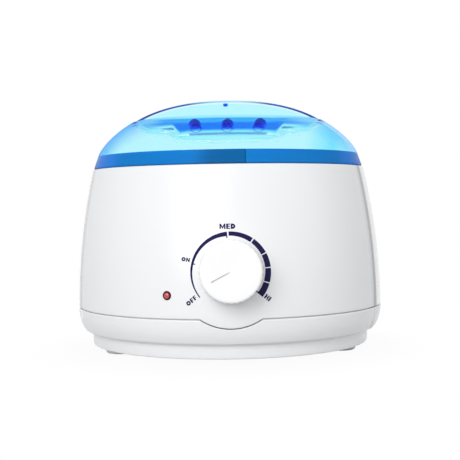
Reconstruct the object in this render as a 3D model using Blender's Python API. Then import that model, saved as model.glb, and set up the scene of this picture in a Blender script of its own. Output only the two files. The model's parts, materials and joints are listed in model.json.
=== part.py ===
"""Wax heater: a round table-top heater with a lift-out pot, a clear domed lid and one dial.

Metres, +Z up. The front, with the dial, faces -Y. The origin is on the table, under the middle of
the whole object, so the body's own axis stands a little behind it. The pot stands in a heating cup
that hangs from the housing's ledge, and the lid rests on the housing's rim.
"""

import math

import bpy
import bmesh
import numpy as np
from mathutils import Matrix, Vector

# Clearances
gap = 0.0003
seam = 0.0005
overrun = 0.002

# Pot, which sets the size of all that stands round it
pot_radius = 0.0586
pot_wall = 0.0010
pot_depth = 0.0602
pot_corner = 0.0030
pot_flange_width = 0.0076
pot_flange_thickness = 0.0012

# Housing, measured over its side panels
rim_margin = 0.0242
side_flare = 0.0097
housing_height = 0.0828
housing_wall = 0.0022
rim_width = 0.0030
rim_depth = 0.0035
ledge_thickness = 0.0022
panel_step = 0.0007
panel_half_angle = math.radians(14.0)
panel_edge_angle = math.radians(1.3)

# Base
foot_ring_inset = 0.0086
foot_ring_height = 0.0073
foot_ring_width = 0.0034
foot_ring_draft = 0.0005
base_height = 0.0226
base_shoulder = 0.0076
base_wall = 0.0024
base_floor = 0.0024
floor_recess = 0.0020
lip_height = 0.0020
lip_thickness = 0.0012

# Rubber feet
foot_radius = 0.0090
foot_proud = 0.0030
foot_chamfer = 0.0008
foot_angle = math.radians(25.0)

# Screws that hold base and housing together
column_inset = 0.0165
column_radius = 0.0045
post_radius = 0.0038
post_joint_height = 0.0010
long_screw_radius = 0.0015
long_screw_bite = 0.0160
screw_head_radius = 0.0033
screw_head_height = 0.0024
screw_head_recess = 0.0006

# Heating cup
cup_clearance = 0.0010
cup_wall = 0.0015
cup_floor_clearance = 0.0006
cup_flange_lap = 0.0062
cup_flange_thickness = 0.0012
well_clearance = 0.0020
gasket_thickness = 0.0010
gasket_inset = 0.0008

# Heater and insulation round the cup
heater_thickness = 0.0012
heater_low = 0.0050
heater_width = 0.0260
wrap_thickness = 0.0025
wrap_low = 0.0100
wrap_width = 0.0240

# Brackets that hang the cup from the housing
bracket_thickness = 0.0012
bracket_width = 0.0120
bracket_leg = 0.0080
bracket_drop = 0.0104
bracket_reach = 0.0160
bracket_hole_inset = 0.0042
short_screw_radius = 0.0015
short_screw_bite = 0.0070
short_screw_head_radius = 0.0028
short_screw_head_height = 0.0020
short_post_radius = 0.0036

# Lid
lid_setback = 0.0006
lid_band_flare = 0.0027
lid_band_height = 0.0076
lid_dome_height = 0.0336
lid_wall = 0.0019
lid_lip_height = 0.0030
lid_lip_thickness = 0.0020
scoop_margin = 0.0205
scoop_floor_height = 0.0114
shelf_rise = 0.0036
ridge_half_width = 0.0060
ridge_wall_foot = 0.0198
vent_radius = 0.00365
vent_spacing = 0.0198
vent_depth = 0.0149
scoop_column_shares = (0.28, 0.56, 0.667, 0.83, 1.0)
lip_steepness = 1.0

# Bail and its ears
bail_wire_radius = 0.0015
bail_clearance = 0.0060
bail_hook = 0.0030
ear_thickness = 0.0012
ear_width = 0.0110
ear_inset = 0.0004
ear_hole_height = 0.0034
ear_top_margin = 0.0032
ear_foot = 0.0053

# Dial and knob
dial_height = 0.0251
tongue_radius = 0.0302
knob_radius = 0.0170
knob_length = 0.0155
knob_standoff = 0.0009
knob_top_radius = 0.0165
knob_edge = 0.0016
knob_wall = 0.0021
knob_notch = 0.0005
knob_notches = 32
knob_notch_shares = (0.0, 0.62)
hub_radius = 0.0052
hub_standoff = 0.0036
pointer_length = 0.0107
pointer_width = 0.0007
pointer_depth = 0.0004
pointer_start = 0.0008
pointer_angle = math.radians(207.7)

# Thermostat behind the dial
spindle_radius = 0.0030
spindle_flat = 0.0006
bush_radius = 0.0042
bush_proud = 0.0030
nut_radius = 0.0066
nut_thickness = 0.0020
boss_radius = 0.0030
boss_length = 0.0050
boss_spacing = 0.0340
plate_thickness = 0.0012
plate_width = 0.0420
plate_height = 0.0160
thermostat_width = 0.0240
thermostat_height = 0.0220
thermostat_depth = 0.0140
terminal_tab_width = 0.0040
terminal_tab_length = 0.0050
terminal_tab_thickness = 0.0008
terminal_tab_spacing = 0.0130

# Indicator lamp
lamp_angle = math.radians(22.0)
lamp_height = 0.0125
lamp_radius = 0.0017
lamp_clearance = 0.0002
bezel_thickness = 0.0004
bezel_proud = 0.0004
bezel_length = 0.0060
lamp_dome = 0.0008
lamp_body_radius = 0.0026
lamp_body_length = 0.0090

# Sensing parts under the cup
sensor_offset = 0.0120
fuse_radius = 0.0020
fuse_length = 0.0140
bulb_radius = 0.0022
bulb_length = 0.0300
clip_thickness = 0.0010
clip_width = 0.0060

# Terminal block and cord gland
terminal_inset = 0.0299
terminal_width = 0.0260
terminal_depth = 0.0120
terminal_height = 0.0110
terminal_well_radius = 0.0022
terminal_well_depth = 0.0060
terminal_poles = 3
gland_drop = 0.0061
gland_radius = 0.0044
gland_bore = 0.0033
gland_flange_radius = 0.0062
gland_flange_thickness = 0.0018
gland_inner_length = 0.0040

# Leads
lead_radius = 0.0011
lead_floor_clearance = 0.0030
lead_bend = 0.0060
lamp_lead_radius = 0.0007
heater_left = math.radians(165.0)
heater_right = math.radians(15.0)
capillary_radius = 0.0008

# How finely round things are divided
body_columns = 10
panel_columns = 2
curve_steps = 6
corner_steps = 3
dome_rings = 4
ridge_rows = 10
bail_steps = 16
route_steps = 2
wire_resolution = 2
parting_sides = 48
vessel_sides = 40
bush_sides = 24
disc_sides = 20
gland_sides = 16
bore_sides = 12
screw_sides = 10
nut_sides = 6
smooth_limit = math.radians(30.0)

# The outline of the lid's dome and the side wall's curve, as powers
dome_power = 2.4
dome_roundness = 0.75
side_power = 2.0

# Levels, worked out from the sizes above
ring_z = foot_proud
floor_under_z = ring_z + floor_recess
floor_z = floor_under_z + base_floor
shoulder_z = ring_z + foot_ring_height
parting_z = ring_z + base_height
rim_z = parting_z + housing_height
ledge_z = rim_z - rim_depth
ledge_under_z = ledge_z - ledge_thickness
lid_z = rim_z + gap
band_z = lid_z + lid_band_height
flange_z = ledge_z + gap
flange_top_z = flange_z + pot_flange_thickness
pot_floor_z = flange_top_z - pot_depth
cup_floor_z = pot_floor_z - pot_wall - cup_floor_clearance
cup_under_z = cup_floor_z - cup_wall
gasket_z = ledge_under_z - gap - gasket_thickness
cup_top_z = gasket_z - gap
heater_z = cup_under_z + heater_low
wrap_z = heater_z + wrap_low - heater_low
dial_z = parting_z + dial_height
base_top_z = parting_z - seam
post_joint_z = parting_z + post_joint_height
screw_head_z = floor_under_z + screw_head_recess
bracket_z = cup_top_z - bracket_drop
bail_z = flange_top_z + ear_hole_height

# Radii that follow from the sizes above
rim_radius = pot_radius + rim_margin
widest_radius = rim_radius + side_flare
foot_ring_radius = widest_radius - foot_ring_inset
column_circle = widest_radius - column_inset
terminal_distance = foot_ring_radius - terminal_inset
pot_flange_radius = pot_radius + pot_flange_width
bail_radius = pot_flange_radius + bail_clearance
lid_radius = rim_radius - lid_setback
lid_band_radius = lid_radius - lid_band_flare
scoop_radius = lid_band_radius - scoop_margin
cup_inner_radius = pot_radius + cup_clearance
cup_radius = cup_inner_radius + cup_wall
well_radius = pot_radius + well_clearance
cup_flange_radius = well_radius + cup_flange_lap
rim_inner_radius = rim_radius - panel_step - rim_width
heater_inner_radius = cup_radius + gap
heater_radius = heater_inner_radius + heater_thickness
wrap_inner_radius = heater_radius + gap
wrap_radius = wrap_inner_radius + wrap_thickness
foot_circle = foot_ring_radius - foot_ring_width - gap - foot_radius
bracket_circle = cup_radius + gap + bracket_reach - bracket_hole_inset
bezel_inner_radius = lamp_radius + lamp_clearance
bezel_radius = bezel_inner_radius + bezel_thickness

# Depths along the dial's axis, counted outwards from the housing wall
plate_front = -housing_wall - boss_length
plate_back = plate_front - plate_thickness
thermostat_front = plate_back - gap
thermostat_back = thermostat_front - thermostat_depth


def side_radius(z):
    """Outer radius of the upper housing at a height: a parabola from the widest line to the rim."""
    share = (z - parting_z) / housing_height
    return widest_radius - (widest_radius - rim_radius) * abs(share) ** side_power


def base_radius(z):
    """Outer radius of the base at a height: a quarter ellipse from the shoulder to the parting line."""
    share = (parting_z - z) / (parting_z - shoulder_z)
    return widest_radius - base_shoulder + base_shoulder * math.sqrt(max(0.0, 1.0 - share * share))


# The dial stands square to the housing wall
wall_slope = side_power * (widest_radius - rim_radius) * (dial_height / housing_height) / housing_height
dial_tilt = math.atan(wall_slope)
dial_wall_radius = side_radius(dial_z) - panel_step
boss_edge = boss_spacing / 2 + boss_radius
boss_seat = math.sqrt(dial_wall_radius ** 2 - boss_edge ** 2) - dial_wall_radius - housing_wall / 4
knob_face = knob_standoff + knob_length
front_reach = dial_wall_radius + knob_face * math.cos(dial_tilt) + knob_top_radius * math.sin(dial_tilt)
gland_z = parting_z - gland_drop
gland_wall_radius = widest_radius - panel_step
rear_reach = gland_wall_radius + gland_flange_thickness + gap
axis_y = (front_reach - rear_reach) / 2.0


def clear_scene():
    for item in list(bpy.data.objects):
        bpy.data.objects.remove(item, do_unlink=True)


def material(name, colour, roughness, metallic):
    shade = bpy.data.materials.new(name)
    shade.use_nodes = True
    shader = shade.node_tree.nodes["Principled BSDF"]
    shader.inputs["Base Color"].default_value = (*colour, 1.0)
    shader.inputs["Roughness"].default_value = roughness
    shader.inputs["Metallic"].default_value = metallic
    return shade


finishes = {
    "white_plastic": ((0.86, 0.88, 0.91), 0.22, 0.0),
    "white_knob": ((0.92, 0.92, 0.92), 0.30, 0.0),
    "blue_clear": ((0.35, 0.72, 1.0), 0.06, 0.0),
    "aluminium": ((0.78, 0.79, 0.80), 0.32, 1.0),
    "steel": ((0.62, 0.62, 0.64), 0.35, 1.0),
    "brass": ((0.75, 0.60, 0.30), 0.35, 1.0),
    "copper": ((0.72, 0.45, 0.32), 0.35, 1.0),
    "rubber": ((0.55, 0.55, 0.55), 0.75, 0.0),
    "silicone": ((0.72, 0.30, 0.20), 0.60, 0.0),
    "mica": ((0.60, 0.52, 0.38), 0.55, 0.0),
    "fibre": ((0.88, 0.86, 0.80), 0.90, 0.0),
    "dark_plastic": ((0.10, 0.02, 0.02), 0.30, 0.0),
    "red_lens": ((0.73, 0.10, 0.12), 0.12, 0.0),
    "black_plastic": ((0.05, 0.05, 0.05), 0.45, 0.0),
    "ceramic": ((0.85, 0.84, 0.80), 0.50, 0.0),
    "lead_sheath": ((0.80, 0.78, 0.74), 0.55, 0.0),
    "lamp_glass": ((0.90, 0.60, 0.45), 0.08, 0.0),
}


def add(name, mesh, finish, parent, smooth=True):
    """One named sub-part with a material of its own."""
    node = bpy.data.objects.new(name, mesh)
    bpy.context.scene.collection.objects.link(node)
    node.parent = parent
    mesh.materials.append(material(name + "_finish", *finishes[finish]))
    if smooth:
        mesh.shade_smooth()
        mesh.set_sharp_from_angle(angle=smooth_limit)
    return node


def helper(name, mesh, parent):
    """A cutter or a piece to be fused: a guide that is not a sub-part."""
    guide = bpy.data.objects.new(name, mesh)
    bpy.context.scene.collection.objects.link(guide)
    guide.parent = parent
    guide.hide_render = True
    guide.display_type = "WIRE"
    return guide


def combine(node, guide, operation):
    step = node.modifiers.new(operation.lower(), "BOOLEAN")
    step.operation = operation
    step.solver = "EXACT"
    step.object = guide
    return step


def cut(node, *guides):
    for guide in guides:
        combine(node, guide, "DIFFERENCE")


def fuse(node, *guides):
    for guide in guides:
        combine(node, guide, "UNION")


def frame_empty(name, parent, matrix):
    mark = bpy.data.objects.new(name, None)
    bpy.context.scene.collection.objects.link(mark)
    mark.parent = parent
    mark.matrix_local = matrix
    return mark


def mesh_of(name, points, faces):
    """A closed mesh from points and faces, with its faces turned outwards."""
    mesh = bpy.data.meshes.new(name)
    mesh.from_pydata([tuple(float(c) for c in point) for point in points], [], faces)
    shape = bmesh.new()
    shape.from_mesh(mesh)
    bmesh.ops.recalc_face_normals(shape, faces=shape.faces)
    shape.to_mesh(mesh)
    shape.free()
    return mesh


def even_angles(count):
    return [math.tau * index / count for index in range(count)]


def turned(name, outline, angles, offset=None):
    """Turn a closed outline of (radius, height) about Z; offset(index, angle) is taken off a radius."""
    points = []
    rings = []
    for index, (radius, height) in enumerate(outline):
        if radius < gap * gap:
            rings.append([len(points)] * len(angles))
            points.append((0.0, 0.0, height))
            continue
        rings.append(list(range(len(points), len(points) + len(angles))))
        for angle in angles:
            reach = radius - (offset(index, angle) if offset else 0.0)
            points.append((reach * math.cos(angle), reach * math.sin(angle), height))
    faces = []
    for ring, following in zip(rings, rings[1:] + rings[:1]):
        for here in range(len(angles)):
            there = (here + 1) % len(angles)
            face = [ring[here], ring[there], following[there], following[here]]
            corners = [corner for place, corner in enumerate(face) if corner != face[place - 1]]
            if len(corners) > 2:
                faces.append(corners)
    return mesh_of(name, points, faces)


def rod(name, radius, low, high, count):
    return turned(name, [(0.0, low), (radius, low), (radius, high), (0.0, high)], even_angles(count))


def tube(name, inner, outer, low, high, count):
    outline = [(inner, low), (outer, low), (outer, high), (inner, high)]
    return turned(name, outline, even_angles(count))


def slab(name, corners, low, high):
    """A flat outline of (x, y) points carried up from one height to another."""
    count = len(corners)
    points = [(x, y, low) for x, y in corners] + [(x, y, high) for x, y in corners]
    faces = [list(range(count))[::-1], list(range(count, 2 * count))]
    for here in range(count):
        there = (here + 1) % count
        faces.append([here, there, there + count, here + count])
    return mesh_of(name, points, faces)


def block(name, low, high):
    corners = [(low[0], low[1]), (high[0], low[1]), (high[0], high[1]), (low[0], high[1])]
    return slab(name, corners, low[2], high[2])


def joined(name, meshes):
    """Several bodies, clear of each other, as one mesh."""
    whole = bmesh.new()
    for mesh in meshes:
        whole.from_mesh(mesh)
    result = bpy.data.meshes.new(name)
    whole.to_mesh(result)
    whole.free()
    return result


def moved(mesh, matrix):
    mesh.transform(matrix)
    return mesh


def spot(radius, angle, z=0.0):
    return Vector((radius * math.cos(angle), radius * math.sin(angle), z))


def shell_angles():
    """Columns round the housing, with extra ones where the side panels begin."""
    quarter = [panel_half_angle * step / panel_columns for step in range(panel_columns + 1)]
    start = panel_half_angle + panel_edge_angle
    quarter += [start + (math.pi / 2 - start) * step / body_columns for step in range(body_columns)]
    left = [math.pi - angle for angle in [math.pi / 2] + quarter[:0:-1]]
    half = quarter + left
    return half + [angle + math.pi for angle in half]


def panel_offset(outer_points):
    """The body stands back by the panel's step everywhere but on the two side panels."""

    def offset(index, angle):
        off_side = abs(math.remainder(angle, math.pi))
        on_panel = off_side < panel_half_angle + panel_edge_angle / 2
        return panel_step if index in outer_points and not on_panel else 0.0

    return offset


def column_places():
    return [spot(column_circle, math.pi / 4 + math.pi / 2 * step) for step in range(4)]


def bracket_angles():
    return [math.pi / 2 + math.tau / 3 * step for step in range(3)]


def bracket_places():
    return [spot(bracket_circle, angle) for angle in bracket_angles()]


def boss_places():
    return [Vector((side * boss_spacing / 2, 0.0, 0.0)) for side in (-1, 1)]


def standing(name, radius, low, high, places):
    """Equal upright rods, one at each place."""
    return [moved(rod(name, radius, low, high, bore_sides), Matrix.Translation(place)) for place in places]


def tongue_guide(name, radius):
    """A round bar along Y through the dial's centre, at the front only."""
    mesh = rod(name, radius, -widest_radius - overrun, -pot_radius, parting_sides)
    turn = Matrix.Translation((0.0, 0.0, dial_z)) @ Matrix.Rotation(-math.pi / 2, 4, "X")
    return moved(mesh, turn)


def make_upper_housing(body, dial, lamp):
    low = dial_z - tongue_radius - seam
    steps = [step / curve_steps for step in range(curve_steps + 1)]
    below = [low, (low + parting_z) / 2]
    outer = [(base_radius(z), z) for z in below]
    outer += [(side_radius(z), z) for z in [parting_z + housing_height * share for share in steps]]
    top = [(rim_inner_radius, rim_z), (rim_inner_radius, ledge_z), (well_radius, ledge_z)]
    under = side_radius(ledge_under_z) - housing_wall
    top += [(well_radius, ledge_under_z), (under, ledge_under_z)]
    levels = [z for _, z in outer if z < ledge_under_z - rim_depth][::-1]
    inner = [(side_radius(z) if z > parting_z else base_radius(z), z) for z in levels]
    inner = [(radius - housing_wall, z) for radius, z in inner]
    outline = outer + top + inner
    mesh = turned("upper_housing", outline, shell_angles(), panel_offset(range(len(outer))))
    node = add("upper_housing", mesh, "white_plastic", body)

    ring = rod("below_parting", widest_radius + overrun, low - overrun, parting_z, parting_sides)
    skirt_cut = helper("below_parting", ring, body)
    cut(skirt_cut, helper("tongue_keep", tongue_guide("tongue_keep", tongue_radius), body))
    cut(node, skirt_cut)

    in_ledge = ledge_under_z + ledge_thickness / 2
    bracket_top = bracket_z + bracket_thickness
    posts = standing("post", post_radius, post_joint_z, in_ledge, column_places())
    posts += standing("short_post", short_post_radius, bracket_top + gap, in_ledge, bracket_places())
    fuse(node, helper("posts", joined("posts", posts), body))
    bosses = standing("boss", boss_radius, plate_front + gap, boss_seat, boss_places())
    fuse(node, helper("bosses", joined("bosses", bosses), dial))

    bore_end = post_joint_z + long_screw_bite + overrun
    holes = standing("hole", long_screw_radius + gap, post_joint_z - overrun, bore_end, column_places())
    holes += standing("short_hole", short_screw_radius + gap, bracket_z,
                      bracket_top + short_screw_bite + gap, bracket_places())
    cut(node, helper("screw_holes", joined("screw_holes", holes), body))
    shaft = standing("pilot", short_screw_radius + gap, plate_front - overrun, boss_seat - gap, boss_places())
    shaft.append(rod("shaft_hole", bush_radius + gap, -housing_wall - overrun, overrun, bush_sides))
    cut(node, helper("shaft_holes", joined("shaft_holes", shaft), dial))
    eye = rod("lamp_hole", bezel_radius + lamp_clearance, -housing_wall - overrun, overrun, disc_sides)
    cut(node, helper("lamp_hole", eye, lamp))


def make_base(body):
    drop = parting_z - shoulder_z
    swing = [math.pi / 2 * step / (curve_steps - 2) for step in range(curve_steps - 2)]
    curve = [shoulder_z + drop * (1.0 - math.cos(angle)) for angle in swing]
    outer = [(foot_ring_radius, ring_z), (foot_ring_radius + foot_ring_draft, shoulder_z)]
    outer += [(base_radius(z), z) for z in curve] + [(widest_radius, base_top_z)]
    lip = widest_radius - housing_wall - gap
    inner = [(lip, base_top_z), (lip, parting_z + lip_height)]
    inner += [(lip - lip_thickness, parting_z + lip_height)]
    middle_z = shoulder_z + drop / 2
    inner += [(base_radius(middle_z) - base_wall - lip_thickness / 2, middle_z)]
    inner += [(foot_ring_radius - base_wall, shoulder_z + base_wall)]
    inner += [(foot_ring_radius - base_wall - foot_ring_draft, floor_z), (0.0, floor_z)]
    under = foot_ring_radius - foot_ring_width
    outline = outer + inner + [(0.0, floor_under_z), (under, floor_under_z), (under, ring_z)]
    panelled = range(3, len(outer))
    node = add("base", turned("base", outline, shell_angles(), panel_offset(panelled)), "white_plastic", body)

    top = post_joint_z - gap
    columns = standing("column", column_radius, floor_z - base_floor / 2, top, column_places())
    fuse(node, helper("columns", joined("columns", columns), body))
    head_top = screw_head_z + screw_head_height + gap
    bore = long_screw_radius + gap
    pocket = screw_head_radius + gap
    outline = [(0.0, floor_under_z - overrun), (pocket, floor_under_z - overrun), (pocket, head_top)]
    outline += [(bore, head_top), (bore, top + overrun), (0.0, top + overrun)]
    holes = [moved(turned("bore", outline, even_angles(bore_sides)), Matrix.Translation(place))
             for place in column_places()]
    cut(node, helper("column_bores", joined("column_bores", holes), body))
    cut(node, helper("tongue_room", tongue_guide("tongue_room", tongue_radius + seam), body))
    inside = gland_wall_radius - 2 * gland_inner_length
    mouth = rod("gland_mouth", gland_radius + gap, inside, gland_wall_radius + overrun, gland_sides)
    turn = Matrix.Translation((0.0, 0.0, gland_z)) @ Matrix.Rotation(-math.pi / 2, 4, "X")
    cut(node, helper("gland_mouth", moved(mouth, turn), body))


def make_base_screws(body):
    head = screw_head_z
    tip = post_joint_z + long_screw_bite
    outline = [(0.0, head), (screw_head_radius, head), (screw_head_radius, head + screw_head_height)]
    outline += [(long_screw_radius, head + screw_head_height), (long_screw_radius, tip), (0.0, tip)]
    for number, place in enumerate(column_places(), 1):
        name = f"base_screw_{number}"
        add(name, turned(name, outline, even_angles(screw_sides)), "steel", body).location = place


def make_feet(body):
    places = {"foot_front_right": -foot_angle, "foot_rear_right": foot_angle,
              "foot_rear_left": math.pi - foot_angle, "foot_front_left": math.pi + foot_angle}
    top = floor_under_z - gap
    outline = [(0.0, 0.0), (foot_radius - foot_chamfer, 0.0), (foot_radius, foot_chamfer)]
    outline += [(foot_radius, top), (0.0, top)]
    for name, angle in places.items():
        foot = add(name, turned(name, outline, even_angles(disc_sides)), "rubber", body)
        foot.location = spot(foot_circle, angle)


def vessel_outline(radius, wall, corner, under_z, flange_low, flange_high, flange_radius):
    """The section of a round-cornered pot with a flange round its mouth."""
    swings = [math.pi / 2 * step / corner_steps for step in range(corner_steps + 1)]
    centre_r = radius - corner
    centre_z = under_z + corner

    def arc(reach):
        return [(centre_r + reach * math.sin(swing), centre_z - reach * math.cos(swing)) for swing in swings]

    outline = [(0.0, under_z)] + arc(corner)
    outline += [(radius, flange_low), (flange_radius, flange_low), (flange_radius, flange_high)]
    return outline + [(radius - wall, flange_high)] + arc(corner - wall)[::-1] + [(0.0, under_z + wall)]


def make_pot(body):
    outline = vessel_outline(pot_radius, pot_wall, pot_corner, pot_floor_z - pot_wall,
                             flange_z, flange_top_z, pot_flange_radius)
    add("inner_pot", turned("inner_pot", outline, even_angles(vessel_sides)), "aluminium", body)


def make_ears(body):
    face = pot_flange_radius - ear_inset
    low = flange_top_z + gap
    top = bail_z + ear_top_margin
    corners = [(face - ear_foot, low), (face, low), (face, top), (face - ear_thickness, top)]
    corners += [(face - ear_thickness, low + ear_thickness), (face - ear_foot, low + ear_thickness)]
    for name, turn in {"pot_ear_right": 0.0, "pot_ear_left": math.pi}.items():
        upright = Matrix.Rotation(turn, 4, "Z") @ Matrix.Rotation(math.pi / 2, 4, "X")
        shape = moved(slab(name, corners, -ear_width / 2, ear_width / 2), upright)
        node = add(name, shape, "steel", body, smooth=False)
        inside = face - ear_thickness - overrun
        hole = rod("ear_hole", bail_wire_radius + gap, inside, face + overrun, bore_sides)
        along = Matrix.Translation((0.0, 0.0, bail_z)) @ Matrix.Rotation(turn, 4, "Z")
        cut(node, helper("ear_hole", moved(hole, along @ Matrix.Rotation(math.pi / 2, 4, "Y")), body))


def smooth_route(points):
    """Points read from a smooth curve that runs through all of a route's own points."""
    spans = [(after - before).length for before, after in zip(points, points[1:])]
    headings = [(after - before) / span for before, after, span in zip(points, points[1:], spans)]
    tangents = [headings[0]]
    for index in range(1, len(points) - 1):
        before, after = spans[index - 1], spans[index]
        tangents.append((headings[index - 1] * after + headings[index] * before) / (before + after))
    tangents.append(headings[-1])
    route = []
    for index, span in enumerate(spans):
        for step in range(route_steps):
            t = step / route_steps
            turn = t * t * (3 - 2 * t)
            leave = t * (1 - t) ** 2 * span
            arrive = t * t * (1 - t) * span
            route.append(points[index].lerp(points[index + 1], turn)
                         + tangents[index] * leave - tangents[index + 1] * arrive)
    return route + [points[-1]]


def wire(name, route, radius, finish, parent):
    """Round wire along a route."""
    curve = bpy.data.curves.new(name, "CURVE")
    curve.dimensions = "3D"
    curve.bevel_depth = radius
    curve.bevel_resolution = wire_resolution
    curve.use_fill_caps = True
    spline = curve.splines.new("POLY")
    spline.points.add(len(route) - 1)
    for place, point in zip(spline.points, route):
        place.co = (*point, 1.0)
    curve.materials.append(material(name + "_finish", *finishes[finish]))
    node = bpy.data.objects.new(name, curve)
    bpy.context.scene.collection.objects.link(node)
    node.parent = parent
    return node


def make_bail(pivot):
    """A half hoop whose ends turn inwards through the ears; it rests on the housing's ledge."""
    slope = (bail_z - bail_wire_radius - gap - ledge_z) / bail_radius
    inner = pot_flange_radius - ear_inset - ear_thickness - bail_hook
    bend = bail_hook / bail_radius
    half = [Vector((inner, 0.0, 0.0)), Vector((bail_radius - bail_hook, 0.0, 0.0))]
    half += [spot(bail_radius - bail_hook * 0.25, bend * 0.4), spot(bail_radius, bend * 1.5)]
    swings = [bend * 3.0 + (math.pi - 6.0 * bend) * step / bail_steps for step in range(bail_steps + 1)]
    arc = [spot(bail_radius, swing) for swing in swings]
    mirrored = [Vector((-point.x, point.y, point.z)) for point in half[::-1]]
    route = [Vector((point.x, point.y, -point.y * slope)) for point in half + arc + mirrored]
    wire("bail_handle", route, bail_wire_radius, "steel", pivot)


def make_cup(body):
    corner = pot_corner + cup_clearance + cup_wall
    outline = vessel_outline(cup_radius, cup_wall, corner, cup_under_z,
                             cup_top_z - cup_flange_thickness, cup_top_z, cup_flange_radius)
    add("heater_cup", turned("heater_cup", outline, even_angles(vessel_sides)), "aluminium", body)
    gasket_radii = (well_radius + gasket_inset, cup_flange_radius - gasket_inset)
    gasket = tube("cup_gasket", *gasket_radii, gasket_z, gasket_z + gasket_thickness, vessel_sides)
    add("cup_gasket", gasket, "silicone", body)
    band = (heater_inner_radius, heater_radius, heater_z, heater_z + heater_width)
    add("band_heater", tube("band_heater", *band, vessel_sides), "mica", body)
    wrap = (wrap_inner_radius, wrap_radius, wrap_z, wrap_z + wrap_width)
    add("insulation_wrap", tube("insulation_wrap", *wrap, vessel_sides), "fibre", body)


def make_brackets(body):
    start = cup_radius + gap
    top = bracket_z + bracket_thickness
    corners = [(start, bracket_z), (start + bracket_reach, bracket_z), (start + bracket_reach, top)]
    corners += [(start + bracket_thickness, top), (start + bracket_thickness, bracket_z + bracket_leg)]
    corners += [(start, bracket_z + bracket_leg)]
    head_z = bracket_z - gap - short_screw_head_height
    tip = top + short_screw_bite
    screw = [(0.0, head_z), (short_screw_head_radius, head_z), (short_screw_head_radius, bracket_z - gap)]
    screw += [(short_screw_radius, bracket_z - gap), (short_screw_radius, tip), (0.0, tip)]
    for number, angle in enumerate(bracket_angles(), 1):
        turn = Matrix.Rotation(angle, 4, "Z") @ Matrix.Rotation(math.pi / 2, 4, "X")
        name = f"chamber_bracket_{number}"
        shape = moved(slab(name, corners, -bracket_width / 2, bracket_width / 2), turn)
        bracket = add(name, shape, "steel", body, smooth=False)
        hole = rod("bracket_hole", short_screw_radius + gap, bracket_z - overrun, top + overrun, bore_sides)
        place = spot(bracket_circle, angle)
        cut(bracket, helper("bracket_hole", moved(hole, Matrix.Translation(place)), body))
        name = f"bracket_screw_{number}"
        add(name, turned(name, screw, even_angles(screw_sides)), "steel", body).location = place


def dome_z(radius):
    share = min(1.0, radius / lid_band_radius)
    return band_z + lid_dome_height * (1.0 - share ** dome_power) ** dome_roundness


def lid_height(x, y):
    """Outer height of the lid inside the scoops' circle: the dome, or a scoop's floor, lip or wall."""
    radius = math.hypot(x, y)
    dome = dome_z(radius)
    if abs(y) <= ridge_half_width:
        return dome
    half_chord = math.sqrt(max(gap * gap, scoop_radius ** 2 - y * y))
    share = abs(x) / half_chord
    floor = band_z + scoop_floor_height
    lip = dome_z(scoop_radius)
    rises = [0.0, 0.0, shelf_rise, shelf_rise, lip - floor]
    floor += float(np.interp(share, [0.0, *scoop_column_shares[1:]], rises))
    slope = lip - (scoop_radius - radius) * lip_steepness
    ridge = dome_z(math.hypot(x, ridge_half_width))
    wall = floor + (ridge - floor) * (ridge_wall_foot - abs(y)) / (ridge_wall_foot - ridge_half_width)
    return min(dome, max(floor, slope, wall))


def lid_rows():
    """Row places across the scoops: the ridge's lines first, then even turns round to the front."""
    foot_turn = math.asin(ridge_wall_foot / scoop_radius)
    half = [0.0, ridge_half_width, (ridge_half_width + ridge_wall_foot) / 2]
    for step in range(ridge_rows - 3):
        turn = foot_turn + (math.pi / 2 - foot_turn) * step / (ridge_rows - 4)
        half.append(scoop_radius * math.sin(turn))
    return [-y for y in half[:0:-1]] + half


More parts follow.
